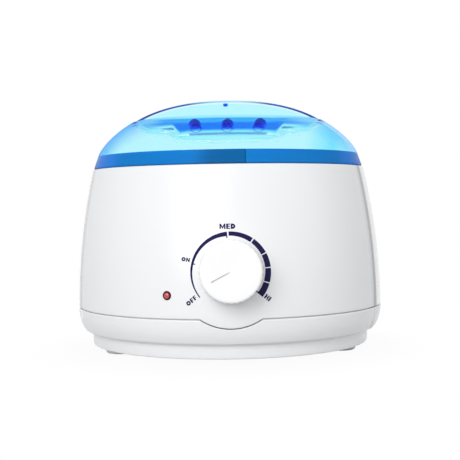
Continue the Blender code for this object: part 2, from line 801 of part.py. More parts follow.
def make_lid(body):
    """The lid's outer skin on a grid of chords and rings, an inner skin one wall inside, and its lip."""
    shape = bmesh.new()
    shares = [-share for share in scoop_column_shares[::-1]] + [0.0] + list(scoop_column_shares)
    rows = []
    for y in lid_rows():
        half_chord = math.sqrt(max(0.0, scoop_radius ** 2 - y * y))
        if half_chord < gap:
            rows.append([shape.verts.new((0.0, y, dome_z(scoop_radius)))] * len(shares))
            continue
        spots = [(half_chord * share, y) for share in shares]
        rows.append([shape.verts.new((x, y, lid_height(x, y))) for x, y in spots])
    edge = [row[-1] for row in rows] + [row[0] for row in rows[-2:0:-1]]
    angles = [math.atan2(vert.co.y, vert.co.x) for vert in edge]
    rings = [edge]
    for step in range(1, dome_rings + 1):
        turn = math.pi / 2 * step / dome_rings
        radius = scoop_radius + (lid_band_radius - scoop_radius) * math.sin(turn)
        rings.append([shape.verts.new(spot(radius, angle, dome_z(radius))) for angle in angles])

    def strip(first, second, closed):
        count = len(first) if closed else len(first) - 1
        for here in range(count):
            there = (here + 1) % len(first)
            face = [first[here], first[there], second[there], second[here]]
            corners = [vert for place, vert in enumerate(face) if vert is not face[place - 1]]
            if len(corners) > 2:
                shape.faces.new(corners)

    for first, second in zip(rows, rows[1:]):
        strip(first, second, False)
    for first, second in zip(rings, rings[1:]):
        strip(second, first, True)
    shape.normal_update()
    upward = 1.0 if rings[0][0].normal.z > 0.0 else -1.0
    inside = {vert: shape.verts.new(vert.co - vert.normal * upward * lid_wall) for vert in list(shape.verts)}
    for face in list(shape.faces):
        shape.faces.new([inside[vert] for vert in face.verts][::-1])
    lip_outer = rim_inner_radius - gap
    lip_inner = lip_outer - lid_lip_thickness
    lip_z = lid_z - lid_lip_height
    section = [(lid_radius, lid_z), (lip_outer, lid_z), (lip_outer, lip_z), (lip_inner, lip_z)]
    previous = rings[-1]
    for radius, height in section:
        ring = [shape.verts.new(spot(radius, angle, height)) for angle in angles]
        strip(previous, ring, True)
        previous = ring
    strip(previous, [inside[vert] for vert in rings[-1]], True)
    bmesh.ops.recalc_face_normals(shape, faces=shape.faces)
    mesh = bpy.data.meshes.new("lid")
    shape.to_mesh(mesh)
    shape.free()
    node = add("lid", mesh, "blue_clear", body)

    ridge_z = dome_z(ridge_half_width)
    fall = ridge_z - band_z - scoop_floor_height
    run = ridge_wall_foot - ridge_half_width
    vent_y = ridge_half_width + run * vent_depth / fall
    lean = math.atan2(fall, run)
    vents = []
    for side in (-1, 1):
        for column in (-1, 0, 1):
            vent = rod("vent", vent_radius, -lid_wall - overrun, lid_wall + overrun, bore_sides)
            place = Matrix.Translation((column * vent_spacing, side * vent_y, ridge_z - vent_depth))
            vents.append(moved(vent, place @ Matrix.Rotation(-side * lean, 4, "X")))
    cut(node, helper("vents", joined("vents", vents), body))


def d_outline(radius, flat, count):
    """A circle with one side cut off at a flat."""
    return [(radius * math.cos(angle), min(radius * math.sin(angle), flat)) for angle in even_angles(count)]


def make_knob(dial):
    """A hollow knob with a notched skirt, a D-bored hub and a pointer line cut in its face."""
    under = knob_face - knob_wall
    hub_low = knob_standoff + hub_standoff
    inside = knob_radius - knob_notch - knob_wall
    outer = [(knob_radius, knob_standoff), (knob_top_radius, knob_face - knob_edge)]
    face = [(knob_top_radius - knob_edge, knob_face), (0.0, knob_face)]
    inner = [(0.0, hub_low), (hub_radius, hub_low), (hub_radius, under), (inside - knob_notch, under)]
    inner += [(inside, knob_standoff)]
    pitch = math.tau / knob_notches
    angles = [pitch * (turn + share) for turn in range(knob_notches) for share in knob_notch_shares]
    notched = set(angles[1::2])

    def notch(index, angle):
        return knob_notch if index < len(outer) and angle in notched else 0.0

    knob = add("knob", turned("knob", outer + face + inner, angles, notch), "white_knob", dial)
    bore = d_outline(spindle_radius + gap, spindle_radius - spindle_flat + gap, disc_sides)
    cut(knob, helper("hub_bore", slab("hub_bore", bore, hub_low - overrun, under - gap), dial))
    low = (pointer_start, -pointer_width / 2, knob_face - pointer_depth)
    line = block("pointer", low, (pointer_start + pointer_length, pointer_width / 2, knob_face + overrun))
    cut(knob, helper("pointer_line", moved(line, Matrix.Rotation(pointer_angle, 4, "Z")), dial))

    spindle = rod("thermostat_spindle", spindle_radius, plate_back, under - 2 * gap, disc_sides)
    node = add("thermostat_spindle", spindle, "brass", dial)
    flat_low = (-spindle_radius - overrun, spindle_radius - spindle_flat, hub_low - gap)
    flat_high = (spindle_radius + overrun, spindle_radius + overrun, under + overrun)
    cut(node, helper("spindle_flat", block("spindle_flat", flat_low, flat_high), dial))


def make_thermostat(dial):
    bush = tube("thermostat_bush", spindle_radius + gap, bush_radius, plate_back, bush_proud, bush_sides)
    add("thermostat_bush", bush, "brass", dial)
    prism = rod("bush_nut", nut_radius, gap, gap + nut_thickness, nut_sides)
    nut = add("bush_nut", prism, "steel", dial, smooth=False)
    nut_bore = rod("nut_bore", bush_radius + gap, -overrun, bush_proud + overrun, bush_sides)
    cut(nut, helper("nut_bore", nut_bore, dial))

    half = (plate_width / 2, plate_height / 2)
    plate = block("plate", (-half[0], -half[1], plate_back), (half[0], half[1], plate_front))
    bracket = add("thermostat_bracket", plate, "steel", dial, smooth=False)
    through = (plate_back - overrun, plate_front + overrun)
    holes = standing("hole", short_screw_radius + gap, *through, boss_places())
    holes.append(rod("bush_hole", bush_radius + gap, *through, bush_sides))
    cut(bracket, helper("plate_holes", joined("plate_holes", holes), dial))

    head = plate_back - gap
    tip = boss_seat - 2 * gap
    back = head - short_screw_head_height
    screw = [(0.0, back), (short_screw_head_radius, back), (short_screw_head_radius, head)]
    screw += [(short_screw_radius, head), (short_screw_radius, tip), (0.0, tip)]
    for name, place in zip(("thermostat_screw_left", "thermostat_screw_right"), boss_places()):
        add(name, turned(name, screw, even_angles(screw_sides)), "steel", dial).location = place

    half = (thermostat_width / 2, thermostat_height / 2)
    box = block("box", (-half[0], -half[1], thermostat_back), (half[0], half[1], thermostat_front))
    node = add("thermostat_body", box, "ceramic", dial, smooth=False)
    tabs = []
    middle = (thermostat_back + thermostat_front) / 2
    for side in (-1, 1):
        x = side * terminal_tab_spacing / 2
        level = middle - terminal_tab_thickness / 2
        low = (x - terminal_tab_width / 2, -half[1] - terminal_tab_length, level)
        high = (x + terminal_tab_width / 2, -half[1] + overrun, level + terminal_tab_thickness)
        tabs.append(block("tab", low, high))
    fuse(node, helper("tabs", joined("tabs", tabs), dial))


def make_lamp(lamp):
    bezel = tube("lamp_bezel", bezel_inner_radius, bezel_radius, -bezel_length, bezel_proud, disc_sides)
    add("lamp_bezel", bezel, "dark_plastic", lamp)
    low = bezel_proud - bezel_length
    shoulder_share = 0.75
    outline = [(0.0, low), (lamp_radius, low), (lamp_radius, bezel_proud)]
    outline += [(lamp_radius * shoulder_share, bezel_proud + lamp_dome * shoulder_share)]
    outline += [(0.0, bezel_proud + lamp_dome)]
    add("lamp_lens", turned("lamp_lens", outline, even_angles(disc_sides)), "red_lens", lamp)
    top = -bezel_length - gap
    glass = rod("indicator_lamp", lamp_body_radius, top - lamp_body_length, top, gland_sides)
    add("indicator_lamp", glass, "lamp_glass", lamp)


def make_sensors(body):
    """A fuse and a thermostat bulb, side by side in a clip under the cup."""
    across = Matrix.Rotation(math.pi / 2, 4, "Y")
    fuse_z = cup_under_z - gap - fuse_radius
    fuse = rod("thermal_fuse", fuse_radius, -fuse_length / 2, fuse_length / 2, bore_sides)
    add("thermal_fuse", moved(fuse, across), "silicone", body).location = (0.0, sensor_offset, fuse_z)
    bulb_z = cup_under_z - gap - bulb_radius
    bulb = rod("thermostat_bulb", bulb_radius, -bulb_length / 2, bulb_length / 2, bore_sides)
    add("thermostat_bulb", moved(bulb, across), "copper", body).location = (0.0, -sensor_offset, bulb_z)

    top = cup_under_z - gap
    strip = top - 2 * bulb_radius - gap
    inner = sensor_offset + bulb_radius + gap
    outer = inner + clip_thickness
    corners = [(-outer, strip - clip_thickness), (outer, strip - clip_thickness), (outer, top), (inner, top)]
    corners += [(inner, strip), (-inner, strip), (-inner, top), (-outer, top)]
    turn = Matrix.Rotation(math.pi / 2, 4, "Z") @ Matrix.Rotation(math.pi / 2, 4, "X")
    clip = moved(slab("sensor_clip", corners, -clip_width / 2, clip_width / 2), turn)
    add("sensor_clip", clip, "steel", body, smooth=False)


def pole_positions():
    """How far left or right of the middle each pole of the terminal block lies."""
    pitch = terminal_width / terminal_poles
    return [pitch * (pole - (terminal_poles - 1) / 2) for pole in range(terminal_poles)]


def make_mains_side(body):
    low_z = floor_z + gap
    top = low_z + terminal_height
    low = (-terminal_width / 2, terminal_distance - terminal_depth / 2, low_z)
    box = block("terminal_block", low, (terminal_width / 2, terminal_distance + terminal_depth / 2, top))
    node = add("terminal_block", box, "black_plastic", body, smooth=False)
    places = [Vector((x, terminal_distance, 0.0)) for x in pole_positions()]
    wells = standing("well", terminal_well_radius, top - terminal_well_depth, top + overrun, places)
    cut(node, helper("terminal_wells", joined("terminal_wells", wells), body))

    seat = gland_wall_radius + gap
    inner_end = seat - gland_radius - gland_inner_length
    outer_end = seat + gland_flange_thickness
    outline = [(gland_bore, inner_end), (gland_radius, inner_end), (gland_radius, seat)]
    outline += [(gland_flange_radius, seat), (gland_flange_radius, outer_end), (gland_bore, outer_end)]
    rearwards = Matrix.Rotation(-math.pi / 2, 4, "X")
    gland = moved(turned("cord_gland", outline, even_angles(gland_sides)), rearwards)
    add("cord_gland", gland, "black_plastic", body).location = (0.0, 0.0, gland_z)


def heater_approach(angle):
    """The last points of a lead that climbs outside the band heater and turns in to its lower edge."""
    end_z = heater_z + lead_radius * 2
    out = heater_radius + lead_bend
    under = spot(out, angle, end_z - lead_bend * 1.5)
    return [under, spot(out + lead_radius, angle, end_z - lead_bend * 0.5),
            spot(out - lead_bend * 0.3, angle, end_z), spot(heater_radius + gap, angle, end_z)]


def make_leads(body, dial_frame, lamp_frame):
    """Leads on routes chosen by hand between the parts that they join."""
    pole_y = terminal_distance - terminal_depth / 2 - gap
    pole_z = floor_z + terminal_height / 2
    low = floor_z + lead_floor_clearance
    middle = (thermostat_back + thermostat_front) / 2
    tab_y = -thermostat_height / 2 - terminal_tab_length - gap
    left_tab = dial_frame @ Vector((-terminal_tab_spacing / 2, tab_y, middle))
    right_tab = dial_frame @ Vector((terminal_tab_spacing / 2, tab_y, middle))
    fuse_z = cup_under_z - gap - fuse_radius
    bulb_z = cup_under_z - gap - bulb_radius
    fuse_end = fuse_length / 2 + gap
    bulb_end = bulb_length / 2 + gap
    poles = pole_positions()

    def pole_exit(x):
        return [Vector((x, pole_y, pole_z)), Vector((x, pole_y - lead_bend, pole_z))]

    inner = cup_radius / 2
    live = pole_exit(poles[0]) + [Vector((poles[0] - lead_bend, inner / 2, low)),
                                  Vector((poles[0] - lead_bend, -inner, low)),
                                  Vector((left_tab.x, left_tab.y + lead_bend * 2, low + lead_bend / 2)),
                                  left_tab - Vector((0.0, 0.0, lead_bend * 1.6)), left_tab]
    wire("lead_live", smooth_route(live), lead_radius, "lead_sheath", body)

    heater_in = right_tab - Vector((0.0, 0.0, lead_bend * 1.2))
    hot = [right_tab, heater_in, Vector((inner / 2, -inner * 1.6, low + lead_bend * 2)),
           Vector((inner * 0.75, -inner / 2, low + lead_bend * 2)),
           Vector((fuse_end + lead_bend * 1.6, sensor_offset / 2, fuse_z - lead_bend)),
           Vector((fuse_end + lead_bend * 0.8, sensor_offset, fuse_z)),
           Vector((fuse_end, sensor_offset, fuse_z))]
    wire("lead_thermostat", smooth_route(hot), lead_radius, "lead_sheath", body)

    link = [Vector((-fuse_end, sensor_offset, fuse_z)),
            Vector((-fuse_end - lead_bend, sensor_offset, fuse_z)),
            spot(cup_radius * 0.6, heater_left, fuse_z - lead_bend * 1.4)] + heater_approach(heater_left)
    wire("lead_fuse", smooth_route(link), lead_radius, "lead_sheath", body)

    neutral = pole_exit(poles[2]) + [spot(cup_radius * 0.7, heater_right * 1.8, low + lead_bend)]
    neutral += heater_approach(heater_right)
    wire("lead_neutral", smooth_route(neutral), lead_radius, "lead_sheath", body)

    rear = -bezel_length - gap - lamp_body_length - 2 * gap
    pin = lamp_body_radius / 2
    behind = rear - lead_bend * 0.7
    pins = [lamp_frame @ Vector((side * pin, 0.0, rear)) for side in (1, -1)]
    drawn = [lamp_frame @ Vector((side * pin, 0.0, behind)) for side in (1, -1)]
    over = low + lead_bend
    first = [pins[1], drawn[1], Vector((-inner * 0.9, -inner * 1.6, over)), Vector((-inner * 0.8, 0.0, over)),
             Vector((poles[1] - lead_bend, inner, over)), Vector((poles[1], pole_y - lead_bend, pole_z)),
             Vector((poles[1], pole_y, pole_z))]
    side_pin = dial_frame @ Vector((-thermostat_width / 2 - gap, 0.0, middle))
    second = [pins[0], drawn[0], side_pin - Vector((lead_bend, 0.0, lead_bend / 2)), side_pin]
    wire("lamp_lead_long", smooth_route(first), lamp_lead_radius, "lead_sheath", body)
    wire("lamp_lead_short", smooth_route(second), lamp_lead_radius, "lead_sheath", body)

    exit_x = thermostat_width / 2 - capillary_radius * 2
    under_body = -thermostat_height / 2 - 2 * gap
    dive = [dial_frame @ Vector((exit_x, under_body, middle)),
            dial_frame @ Vector((exit_x, under_body - lead_bend / 2, middle)),
            Vector((inner * 0.7, -inner * 1.8, bulb_z - lead_bend * 1.4)),
            Vector((bulb_end + lead_bend * 1.6, -inner, bulb_z - lead_bend)),
            Vector((bulb_end + lead_bend, -sensor_offset - lead_radius, bulb_z - lead_radius)),
            Vector((bulb_end, -sensor_offset, bulb_z))]
    wire("capillary_tube", smooth_route(dive), capillary_radius, "copper", body)


def build():
    clear_scene()
    body = frame_empty("body_axis", None, Matrix.Translation((0.0, axis_y, 0.0)))
    dial_frame = Matrix.Translation((0.0, -dial_wall_radius, dial_z))
    dial_frame = dial_frame @ Matrix.Rotation(math.pi / 2 - dial_tilt, 4, "X")
    dial = frame_empty("dial_axis", body, dial_frame)
    lamp_z = parting_z + lamp_height
    lamp_slope = side_power * (widest_radius - rim_radius) * (lamp_height / housing_height) / housing_height
    lamp_frame = Matrix.Rotation(-lamp_angle, 4, "Z")
    lamp_frame = lamp_frame @ Matrix.Translation((0.0, -side_radius(lamp_z) + panel_step, lamp_z))
    lamp_frame = lamp_frame @ Matrix.Rotation(math.pi / 2 - math.atan(lamp_slope), 4, "X")
    lamp = frame_empty("lamp_axis", body, lamp_frame)
    pivot = frame_empty("bail_axis", body, Matrix.Translation((0.0, 0.0, bail_z)))

    make_base(body)
    make_base_screws(body)
    make_feet(body)
    make_upper_housing(body, dial, lamp)
    make_cup(body)
    make_brackets(body)
    make_sensors(body)
    make_thermostat(dial)
    make_lamp(lamp)
    make_mains_side(body)
    make_leads(body, dial_frame, lamp_frame)
    make_knob(dial)
    make_pot(body)
    make_ears(body)
    make_bail(pivot)
    make_lid(body)


build()
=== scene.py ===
"""A wax heater: smooth surfaces, finishes, light and camera round its working frame.

Metres, +Z up, the dial towards -Y. Each surface is a grid of points worked out with numpy.
"""

import json
import math

import bmesh
import bpy
import numpy as np
from bpy.props import FloatProperty, FloatVectorProperty, IntProperty, PointerProperty
from mathutils import Matrix, Vector


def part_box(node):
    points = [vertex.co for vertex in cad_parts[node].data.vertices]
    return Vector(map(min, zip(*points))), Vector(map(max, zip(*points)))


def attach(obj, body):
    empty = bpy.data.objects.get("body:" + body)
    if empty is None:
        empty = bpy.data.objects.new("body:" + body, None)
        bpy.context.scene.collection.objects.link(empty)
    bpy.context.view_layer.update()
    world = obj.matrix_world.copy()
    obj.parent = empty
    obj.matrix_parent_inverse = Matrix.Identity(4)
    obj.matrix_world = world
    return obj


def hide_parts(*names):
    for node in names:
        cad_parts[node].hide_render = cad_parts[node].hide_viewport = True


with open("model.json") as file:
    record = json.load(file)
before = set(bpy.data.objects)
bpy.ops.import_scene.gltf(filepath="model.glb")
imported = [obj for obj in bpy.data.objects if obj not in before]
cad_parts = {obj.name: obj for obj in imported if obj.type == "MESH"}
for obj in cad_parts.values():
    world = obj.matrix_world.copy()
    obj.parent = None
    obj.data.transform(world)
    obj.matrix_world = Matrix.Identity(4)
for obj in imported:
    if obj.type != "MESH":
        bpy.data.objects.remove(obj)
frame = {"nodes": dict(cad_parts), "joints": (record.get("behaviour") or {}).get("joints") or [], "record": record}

bl_info = {
    "name": "Wax Heater",
    "version": (1, 0, 0),
    "blender": (4, 5, 0),
    "location": "View3D > Sidebar > Wax Heater",
    "description": "Builds the surfaces, finishes, light and camera of a wax heater round its frame",
    "category": "Add Mesh",
}

TAU = math.tau
WELD, SLIVER = 2e-6, 1e-7

# Longest steps between the points of a section
HOUSING_STEP, BASE_STEP, BELT_STEP, SMALL_STEP = 0.0022, 0.0030, 0.0012, 0.001
KNOB_STEP, KNOB_INSIDE_STEP, VESSEL_STEP, WIRE_STEP = 0.0011, 0.0022, 0.004, 0.002

# Places taken from the frame
HOUSING_LOW, HOUSING_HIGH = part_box("upper_housing")
BASE_LOW, BASE_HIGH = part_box("base")
LID_LOW, LID_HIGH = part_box("lid")
POT_LOW, POT_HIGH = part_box("inner_pot")
CUP_LOW, CUP_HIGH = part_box("heater_cup")
EAR_LOW, EAR_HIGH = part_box("pot_ear_right")
BAIL_LOW, BAIL_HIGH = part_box("bail_handle")
GLAND_LOW, GLAND_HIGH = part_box("cord_gland")
LENS_LOW, LENS_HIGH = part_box("lamp_lens")
JOINTS = {joint["name"]: joint for joint in frame["joints"]}
DIAL_CENTRE = Vector(JOINTS["knob_turn"]["pos_m"])
DIAL_OUT = -Vector(JOINTS["knob_turn"]["axis"])
BAIL_AXIS = Vector(JOINTS["bail_swing"]["pos_m"])
AXIS_Y = (HOUSING_LOW.y + HOUSING_HIGH.y) / 2
BODY_AXIS = Vector((0.0, AXIS_Y, 0.0))

# Housing and base, in the sizes of the frame's own shells
WIDEST = HOUSING_HIGH.x
RIM_Z = HOUSING_HIGH.z
RING_Z = BASE_LOW.z
LIP_HEIGHT = 0.0020
LIP_THICKNESS = 0.0012
PARTING_Z = BASE_HIGH.z - LIP_HEIGHT
SEAM = 0.0005
GAP = 0.0003
RIM_RADIUS = 0.0828
RIM_WIDTH = 0.0030
RIM_DEPTH = 0.0035
LEDGE_THICKNESS = 0.0022
HOUSING_WALL = 0.0022
WELL_RADIUS = 0.0606
PANEL_STEP = 0.0007
LEFT_PANEL, RIGHT_PANEL = math.radians(14.0), math.radians(21.3)
PANEL_EDGE_ANGLE = math.radians(1.3)
CREASE_SHARE = 0.22
TONGUE_RADIUS = DIAL_CENTRE.z - HOUSING_LOW.z
SHOULDER_Z = 0.0103
SHOULDER_WIDTH = 0.0076
FOOT_RING_RADIUS = 0.0839
FOOT_RING_DRAFT = 0.0005
FOOT_RING_WIDTH = 0.0034
FLOOR_RECESS = 0.0020
FLOOR_THICKNESS = 0.0024
BASE_WALL = 0.0024
PANEL_FADE = 0.004

# Screw posts, bosses and openings of the housing and base
OVERRUN = 0.002
POST_RADIUS, SHORT_POST_RADIUS, COLUMN_RADIUS, BOSS_RADIUS = 0.0038, 0.0036, 0.0045, 0.0030
SCREW_HOLE_RADIUS, POCKET_RADIUS, SHAFT_HOLE_RADIUS, LAMP_HOLE_RADIUS = 0.0018, 0.0036, 0.0045, 0.0025
COLUMN_SPOTS = (WIDEST - 0.0165, (45.0, 135.0, 225.0, 315.0))
BRACKET_SPOTS = (0.0732, (90.0, 210.0, 330.0))
POST_JOINT_Z = PARTING_Z + 0.0010
POST_HOLE_DEPTH = 0.018
COLUMN_FOOT, POCKET_DEPTH = 0.0012, 0.0033
SHORT_POST_Z, SHORT_HOLE_Z, SHORT_HOLE_TOP_Z = 0.0922, 0.0907, 0.0992
BOSS_SPACING = 0.017
BOSS_DEPTH, BOSS_TOP, BOSS_HOLE_TOP = 0.0069, 0.0030, 0.0036
SHAFT_HOLE_DEPTH, LAMP_HOLE_DEPTH = 0.0045, 0.005
MOUTH_RADIUS, MOUTH_START, MOUTH_END = 0.0047, 0.0838, 0.0950

# Feet and cord gland
DIMPLE_DEPTH = 0.0006
DIMPLE_FLAT, DIMPLE_EDGE = 0.5, 0.62
FOOT_ROUNDINGS = (0.0, 0.0012, 0.0008, 0.0012, 0.0003, 0.0)
GLAND_BORE, GLAND_NECK, GLAND_FLANGE = 0.0033, 0.0044, 0.0018
GLAND_ROUNDINGS = (0.0003, 0.0004, 0.0, 0.0002, 0.0008, 0.0006)

# Lid
BAND_Z = 0.1163
BAND_RADIUS = 0.0795
LID_Z = RIM_Z + GAP
LID_WALL = 0.0019
LID_LIP_THICKNESS = 0.0020
LID_INSET = 0.0006
BELT_ROUNDINGS = (0.0, 0.0006, 0.0004, 0.0005, 0.0005, 0.0)
DOME_POWER, DOME_ROUNDNESS = 2.4, 0.75
SCOOP_RADIUS = 0.0590
SCOOP_FLOOR = 0.0114
SHELF_RISE = 0.0036
SHELF_START_SHARE, SHELF_TOP_SHARE, SHELF_END_SHARE = 0.56, 0.667, 0.83
RIDGE_HALF = 0.0060
RIDGE_FOOT = 0.0198
VENT_RADIUS = 0.00365
VENT_SPACING = 0.0198
VENT_DEPTH = 0.0149
COLLAR_RADII = (0.0031, 0.00361)
GATE_RADIUS, GATE_DEPTH, GATE_LIFT, GATE_ROUNDING = 0.0014, 0.0018, 0.0004, 0.0007
GATE_LEFT, GATE_FORWARD = 0.001, 0.002
SKIN_DEPTH, SLOPE_STEP = 0.0007, 0.0001

# Knob, with heights over the dial's plane
KNOB_FACE, KNOB_LOW = 0.0164, 0.0009
KNOB_TOP_RADIUS, KNOB_RADIUS, KNOB_WALL = 0.0165, 0.0170, 0.0021
KNOB_DRAFT, KNOB_EDGE = 0.0005, 0.0016
KNOB_INSIDE_ROUNDINGS = (0.0, 0.0004, 0.0008, 0.0006, 0.0003, 0.0002, 0.0, 0.0)
NOTCH_FADE_Z, NOTCH_FADE_RADIUS = (0.0004, 0.0017), (0.0040, 0.0015)
KNOB_UNDER = 0.0143
HUB_RADIUS, HUB_LOW, HUB_BORE = 0.0052, 0.0045, 0.0033
DISH_RADIUS, DISH_DEPTH = 0.0135, 0.0004
POINTER_START, POINTER_LENGTH, POINTER_DEPTH, POINTER_HALF = 0.0008, 0.0107, 0.0009, 0.00035
POINTER_FLAT, POINTER_WALL = 0.0002, 0.0007
POINTER_ANGLE = 207.7

# Indicator lamp
LAMP_ANGLE = 22.0
LAMP_RAISE = 0.0001
LAMP_RING_RADII = (0.0019, 0.0023)
LAMP_RING_DEPTH, LAMP_RING_PROUD = 0.006, 0.0004
LAMP_RING_ROUNDINGS = (0.0, 0.0, 0.00018, 0.00018)
LENS_RADIUS, LENS_DOME, LENS_BACK = 0.0017, 0.0008, 0.0056

# Printed scale: angles in degrees, insets from the outer radius
PRINT_LIFT, PRINT_THICKNESS = 0.00003, 0.00005
THIN_ARC = (218.7, 94.6)
THIN_INSET, THIN_GROWTH, THIN_SPAN, THIN_POWER = 0.0006, 0.0018, 124.0, 1.2
THICK_BARS = ((92.4, 56.0), (54.0, 28.8), (27.2, 6.8), (5.2, -15.8), (-17.4, -38.7))
THICK_INSET, THICK_GROWTH, THICK_START, THICK_SPAN = 0.0022, 0.0013, 93.6, 132.0
TICKS = ((167.0, 0.0022), (95.4, 0.0034))
TICK_HALF = 0.8
END_MARK, END_MARK_INSETS = (-38.7, -36.6), (0.0046, 0.0034)

# Pot, cup and bail
POT_RADIUS, POT_WALL, POT_CORNER = 0.0586, 0.0010, 0.0030
CUP_RADIUS, CUP_WALL, CUP_CORNER = 0.0611, 0.0015, 0.0055
FLANGE_THICKNESS, FLANGE_EDGE = 0.0012, 0.0003
WIRE_RADIUS = 0.0015
EAR_THICKNESS, HOOK_LENGTH = 0.0012, 0.0030
BAIL_BEND, BAIL_END_ANGLE = 0.0035, math.radians(7.0)


def colour_setting(name, description, default):
    return FloatVectorProperty(name=name, description=description, subtype="COLOR", size=3, min=0.0, max=1.0,
                               default=default)


def length_setting(name, description, default, low=0.0, high=10.0):
    return FloatProperty(name=name, description=description, unit="LENGTH", default=default, min=low,
                         max=high)


def number_setting(name, description, default, low=0.0):
    return FloatProperty(name=name, description=description, default=default, min=low)


class ShellSettings(bpy.types.PropertyGroup):
    """The white housing, its base and its feet."""

    colour: colour_setting("Plastic colour", "Colour of the moulded housing and base", (0.875, 0.885, 0.90))
    edge_radius: length_setting(
        "Edge radius", "Rounding of the edges beside the parting groove", 0.0006, 0.0001, 0.001)
    rim_rounding: length_setting(
        "Rim rounding", "Rounding of the rim that the lid stands on", 0.0007, 0.0001, 0.0014)
    crease_depth: length_setting(
        "Crease depth", "Depth of the line where each side panel begins", 0.00035, 0.0, 0.001)
    foot_colour: colour_setting("Foot colour", "Colour of the rubber feet", (0.80, 0.80, 0.79))


class LidSettings(bpy.types.PropertyGroup):
    """The clear blue lid."""

    tint: colour_setting("Tint", "Tint of one surface of the clear dome", (0.70, 0.965, 1.0))
    deep_tint: colour_setting(
        "Deep tint", "Tint where the clear plastic is thick or seen along its wall", (0.010, 0.22, 0.95))
    band_tint: colour_setting("Band tint", "Tint of the band under the dome", (0.013, 0.245, 0.66))
    rounding: length_setting(
        "Rounding", "How softly the scoops, the ridge and the dome run together", 0.0014, 0.0002, 0.004)
    collar_length: length_setting(
        "Vent collar", "Length of the collar behind each steam vent", 0.0036, 0.001, 0.008)


class DialSettings(bpy.types.PropertyGroup):
    """The knob, the printed scale and the lamp."""

    knob_colour: colour_setting("Knob colour", "Colour of the knob", (0.95, 0.95, 0.95))
    notches: IntProperty(
        name="Grip notches", description="Number of notches round the knob", default=32, min=8, max=64)
    notch_depth: length_setting("Notch depth", "Depth of the knob's grip notches", 0.0008, 0.0, 0.0012)
    ink: colour_setting("Ink", "Colour of the printed scale and words", (0.006, 0.003, 0.062))
    scale_radius: length_setting("Scale radius", "Outer radius of the printed scale", 0.0215, 0.018, 0.03)
    lamp_colour: colour_setting("Lamp colour", "Colour of the indicator lamp", (0.56, 0.05, 0.06))


class StageSettings(bpy.types.PropertyGroup):
    """Floor, light and camera."""

    key_power: number_setting("Key light", "Power of the big soft light at the left front", 13.3)
    fill_power: number_setting("Fill light", "Power of the weak light at the right", 0.9)
    ambient: number_setting("Ambient light", "Brightness of the light from all round", 0.675)
    camera_distance: length_setting("Camera distance", "From the body's own axis to the camera", 0.6175, 0.3)
    camera_height: length_setting("Camera height", "Height of the camera over the table", 0.087)
    focal_length: number_setting("Focal length", "Focal length of the lens, in millimetres", 78.0, 20.0)


# Small helpers for grids of points

def wave(low, high, value):
    """A smooth step from 0 at low to 1 at high: three times the square less twice the cube."""
    share = np.clip((value - low) / (high - low), 0.0, 1.0)
    return share * share * (3.0 - 2.0 * share)


def soft_min(first, second, width):
    """The lesser of two, with a parabola of the given width where they cross."""
    near = np.maximum(width - np.abs(first - second), 0.0)
    return np.minimum(first, second) - near * near / (4.0 * width)


def soft_max(first, second, width):
    """The greater of two, with a parabola of the given width where they cross."""
    return -soft_min(-first, -second, width)


def rounded(corners, radii, steps=5, closed=False):
    """A path of (radius, height) corners, each replaced by an arc that touches both its sides."""
    corners = [np.array(corner, float) for corner in corners]
    path = []
    for index, corner in enumerate(corners):
        radius = radii[index]
        at_end = not closed and index in (0, len(corners) - 1)
        if at_end or radius == 0.0:
            path.append(corner[None, :])
            continue
        before = corners[index - 1] - corner
        after = corners[(index + 1) % len(corners)] - corner
        before /= np.linalg.norm(before)
        after /= np.linalg.norm(after)
        half = 0.5 * math.acos(float(np.clip(before @ after, -1.0, 1.0)))
        middle = (before + after) / np.linalg.norm(before + after)
        centre = corner + middle * radius / math.sin(half)
        start = corner + before * radius / math.tan(half) - centre
        end = corner + after * radius / math.tan(half) - centre
        swing = math.pi - 2.0 * half
        share = np.linspace(0.0, 1.0, steps + 1)[:, None]
        arc = start * np.sin((1.0 - share) * swing) + end * np.sin(share * swing)
        path.append(centre + arc / math.sin(swing))
    return np.concatenate(path)


def resampled(path, longest):
    """A path with points added evenly so that no step is longer than the longest."""
    steps = np.linalg.norm(np.diff(path, axis=0), axis=1)
    pieces = [np.linspace(start, end, int(math.ceil(step / longest)) + 1)[:-1]
              for start, end, step in zip(path[:-1], path[1:], np.maximum(steps, 1e-9))]
    return np.concatenate(pieces + [path[-1:]])


def closed_section(corners, radii, longest):
    """A closed path with rounded corners and no step longer than the longest."""
    path = rounded(corners, radii, closed=True)
    return resampled(np.concatenate([path, path[:1]]), longest)[:-1]


def even_turns(columns):
    return np.linspace(0.0, TAU, columns, endpoint=False)[None, :]


def round_grid(radius, height, turn):
    """Points at a radius, a height and a turn about Z: radius times the turn's cosine and sine."""
    return np.stack(np.broadcast_arrays(radius * np.cos(turn), radius * np.sin(turn), height), axis=-1)


def turned(profile, columns):
    """A profile of (radius, height) carried round Z in even turns."""
    return round_grid(profile[:, :1], profile[:, 1:], even_turns(columns))


def placed(points, matrix):
    """A grid of points moved by a matrix."""
    values = np.array(matrix)
    return points @ values[:3, :3].T + values[:3, 3]


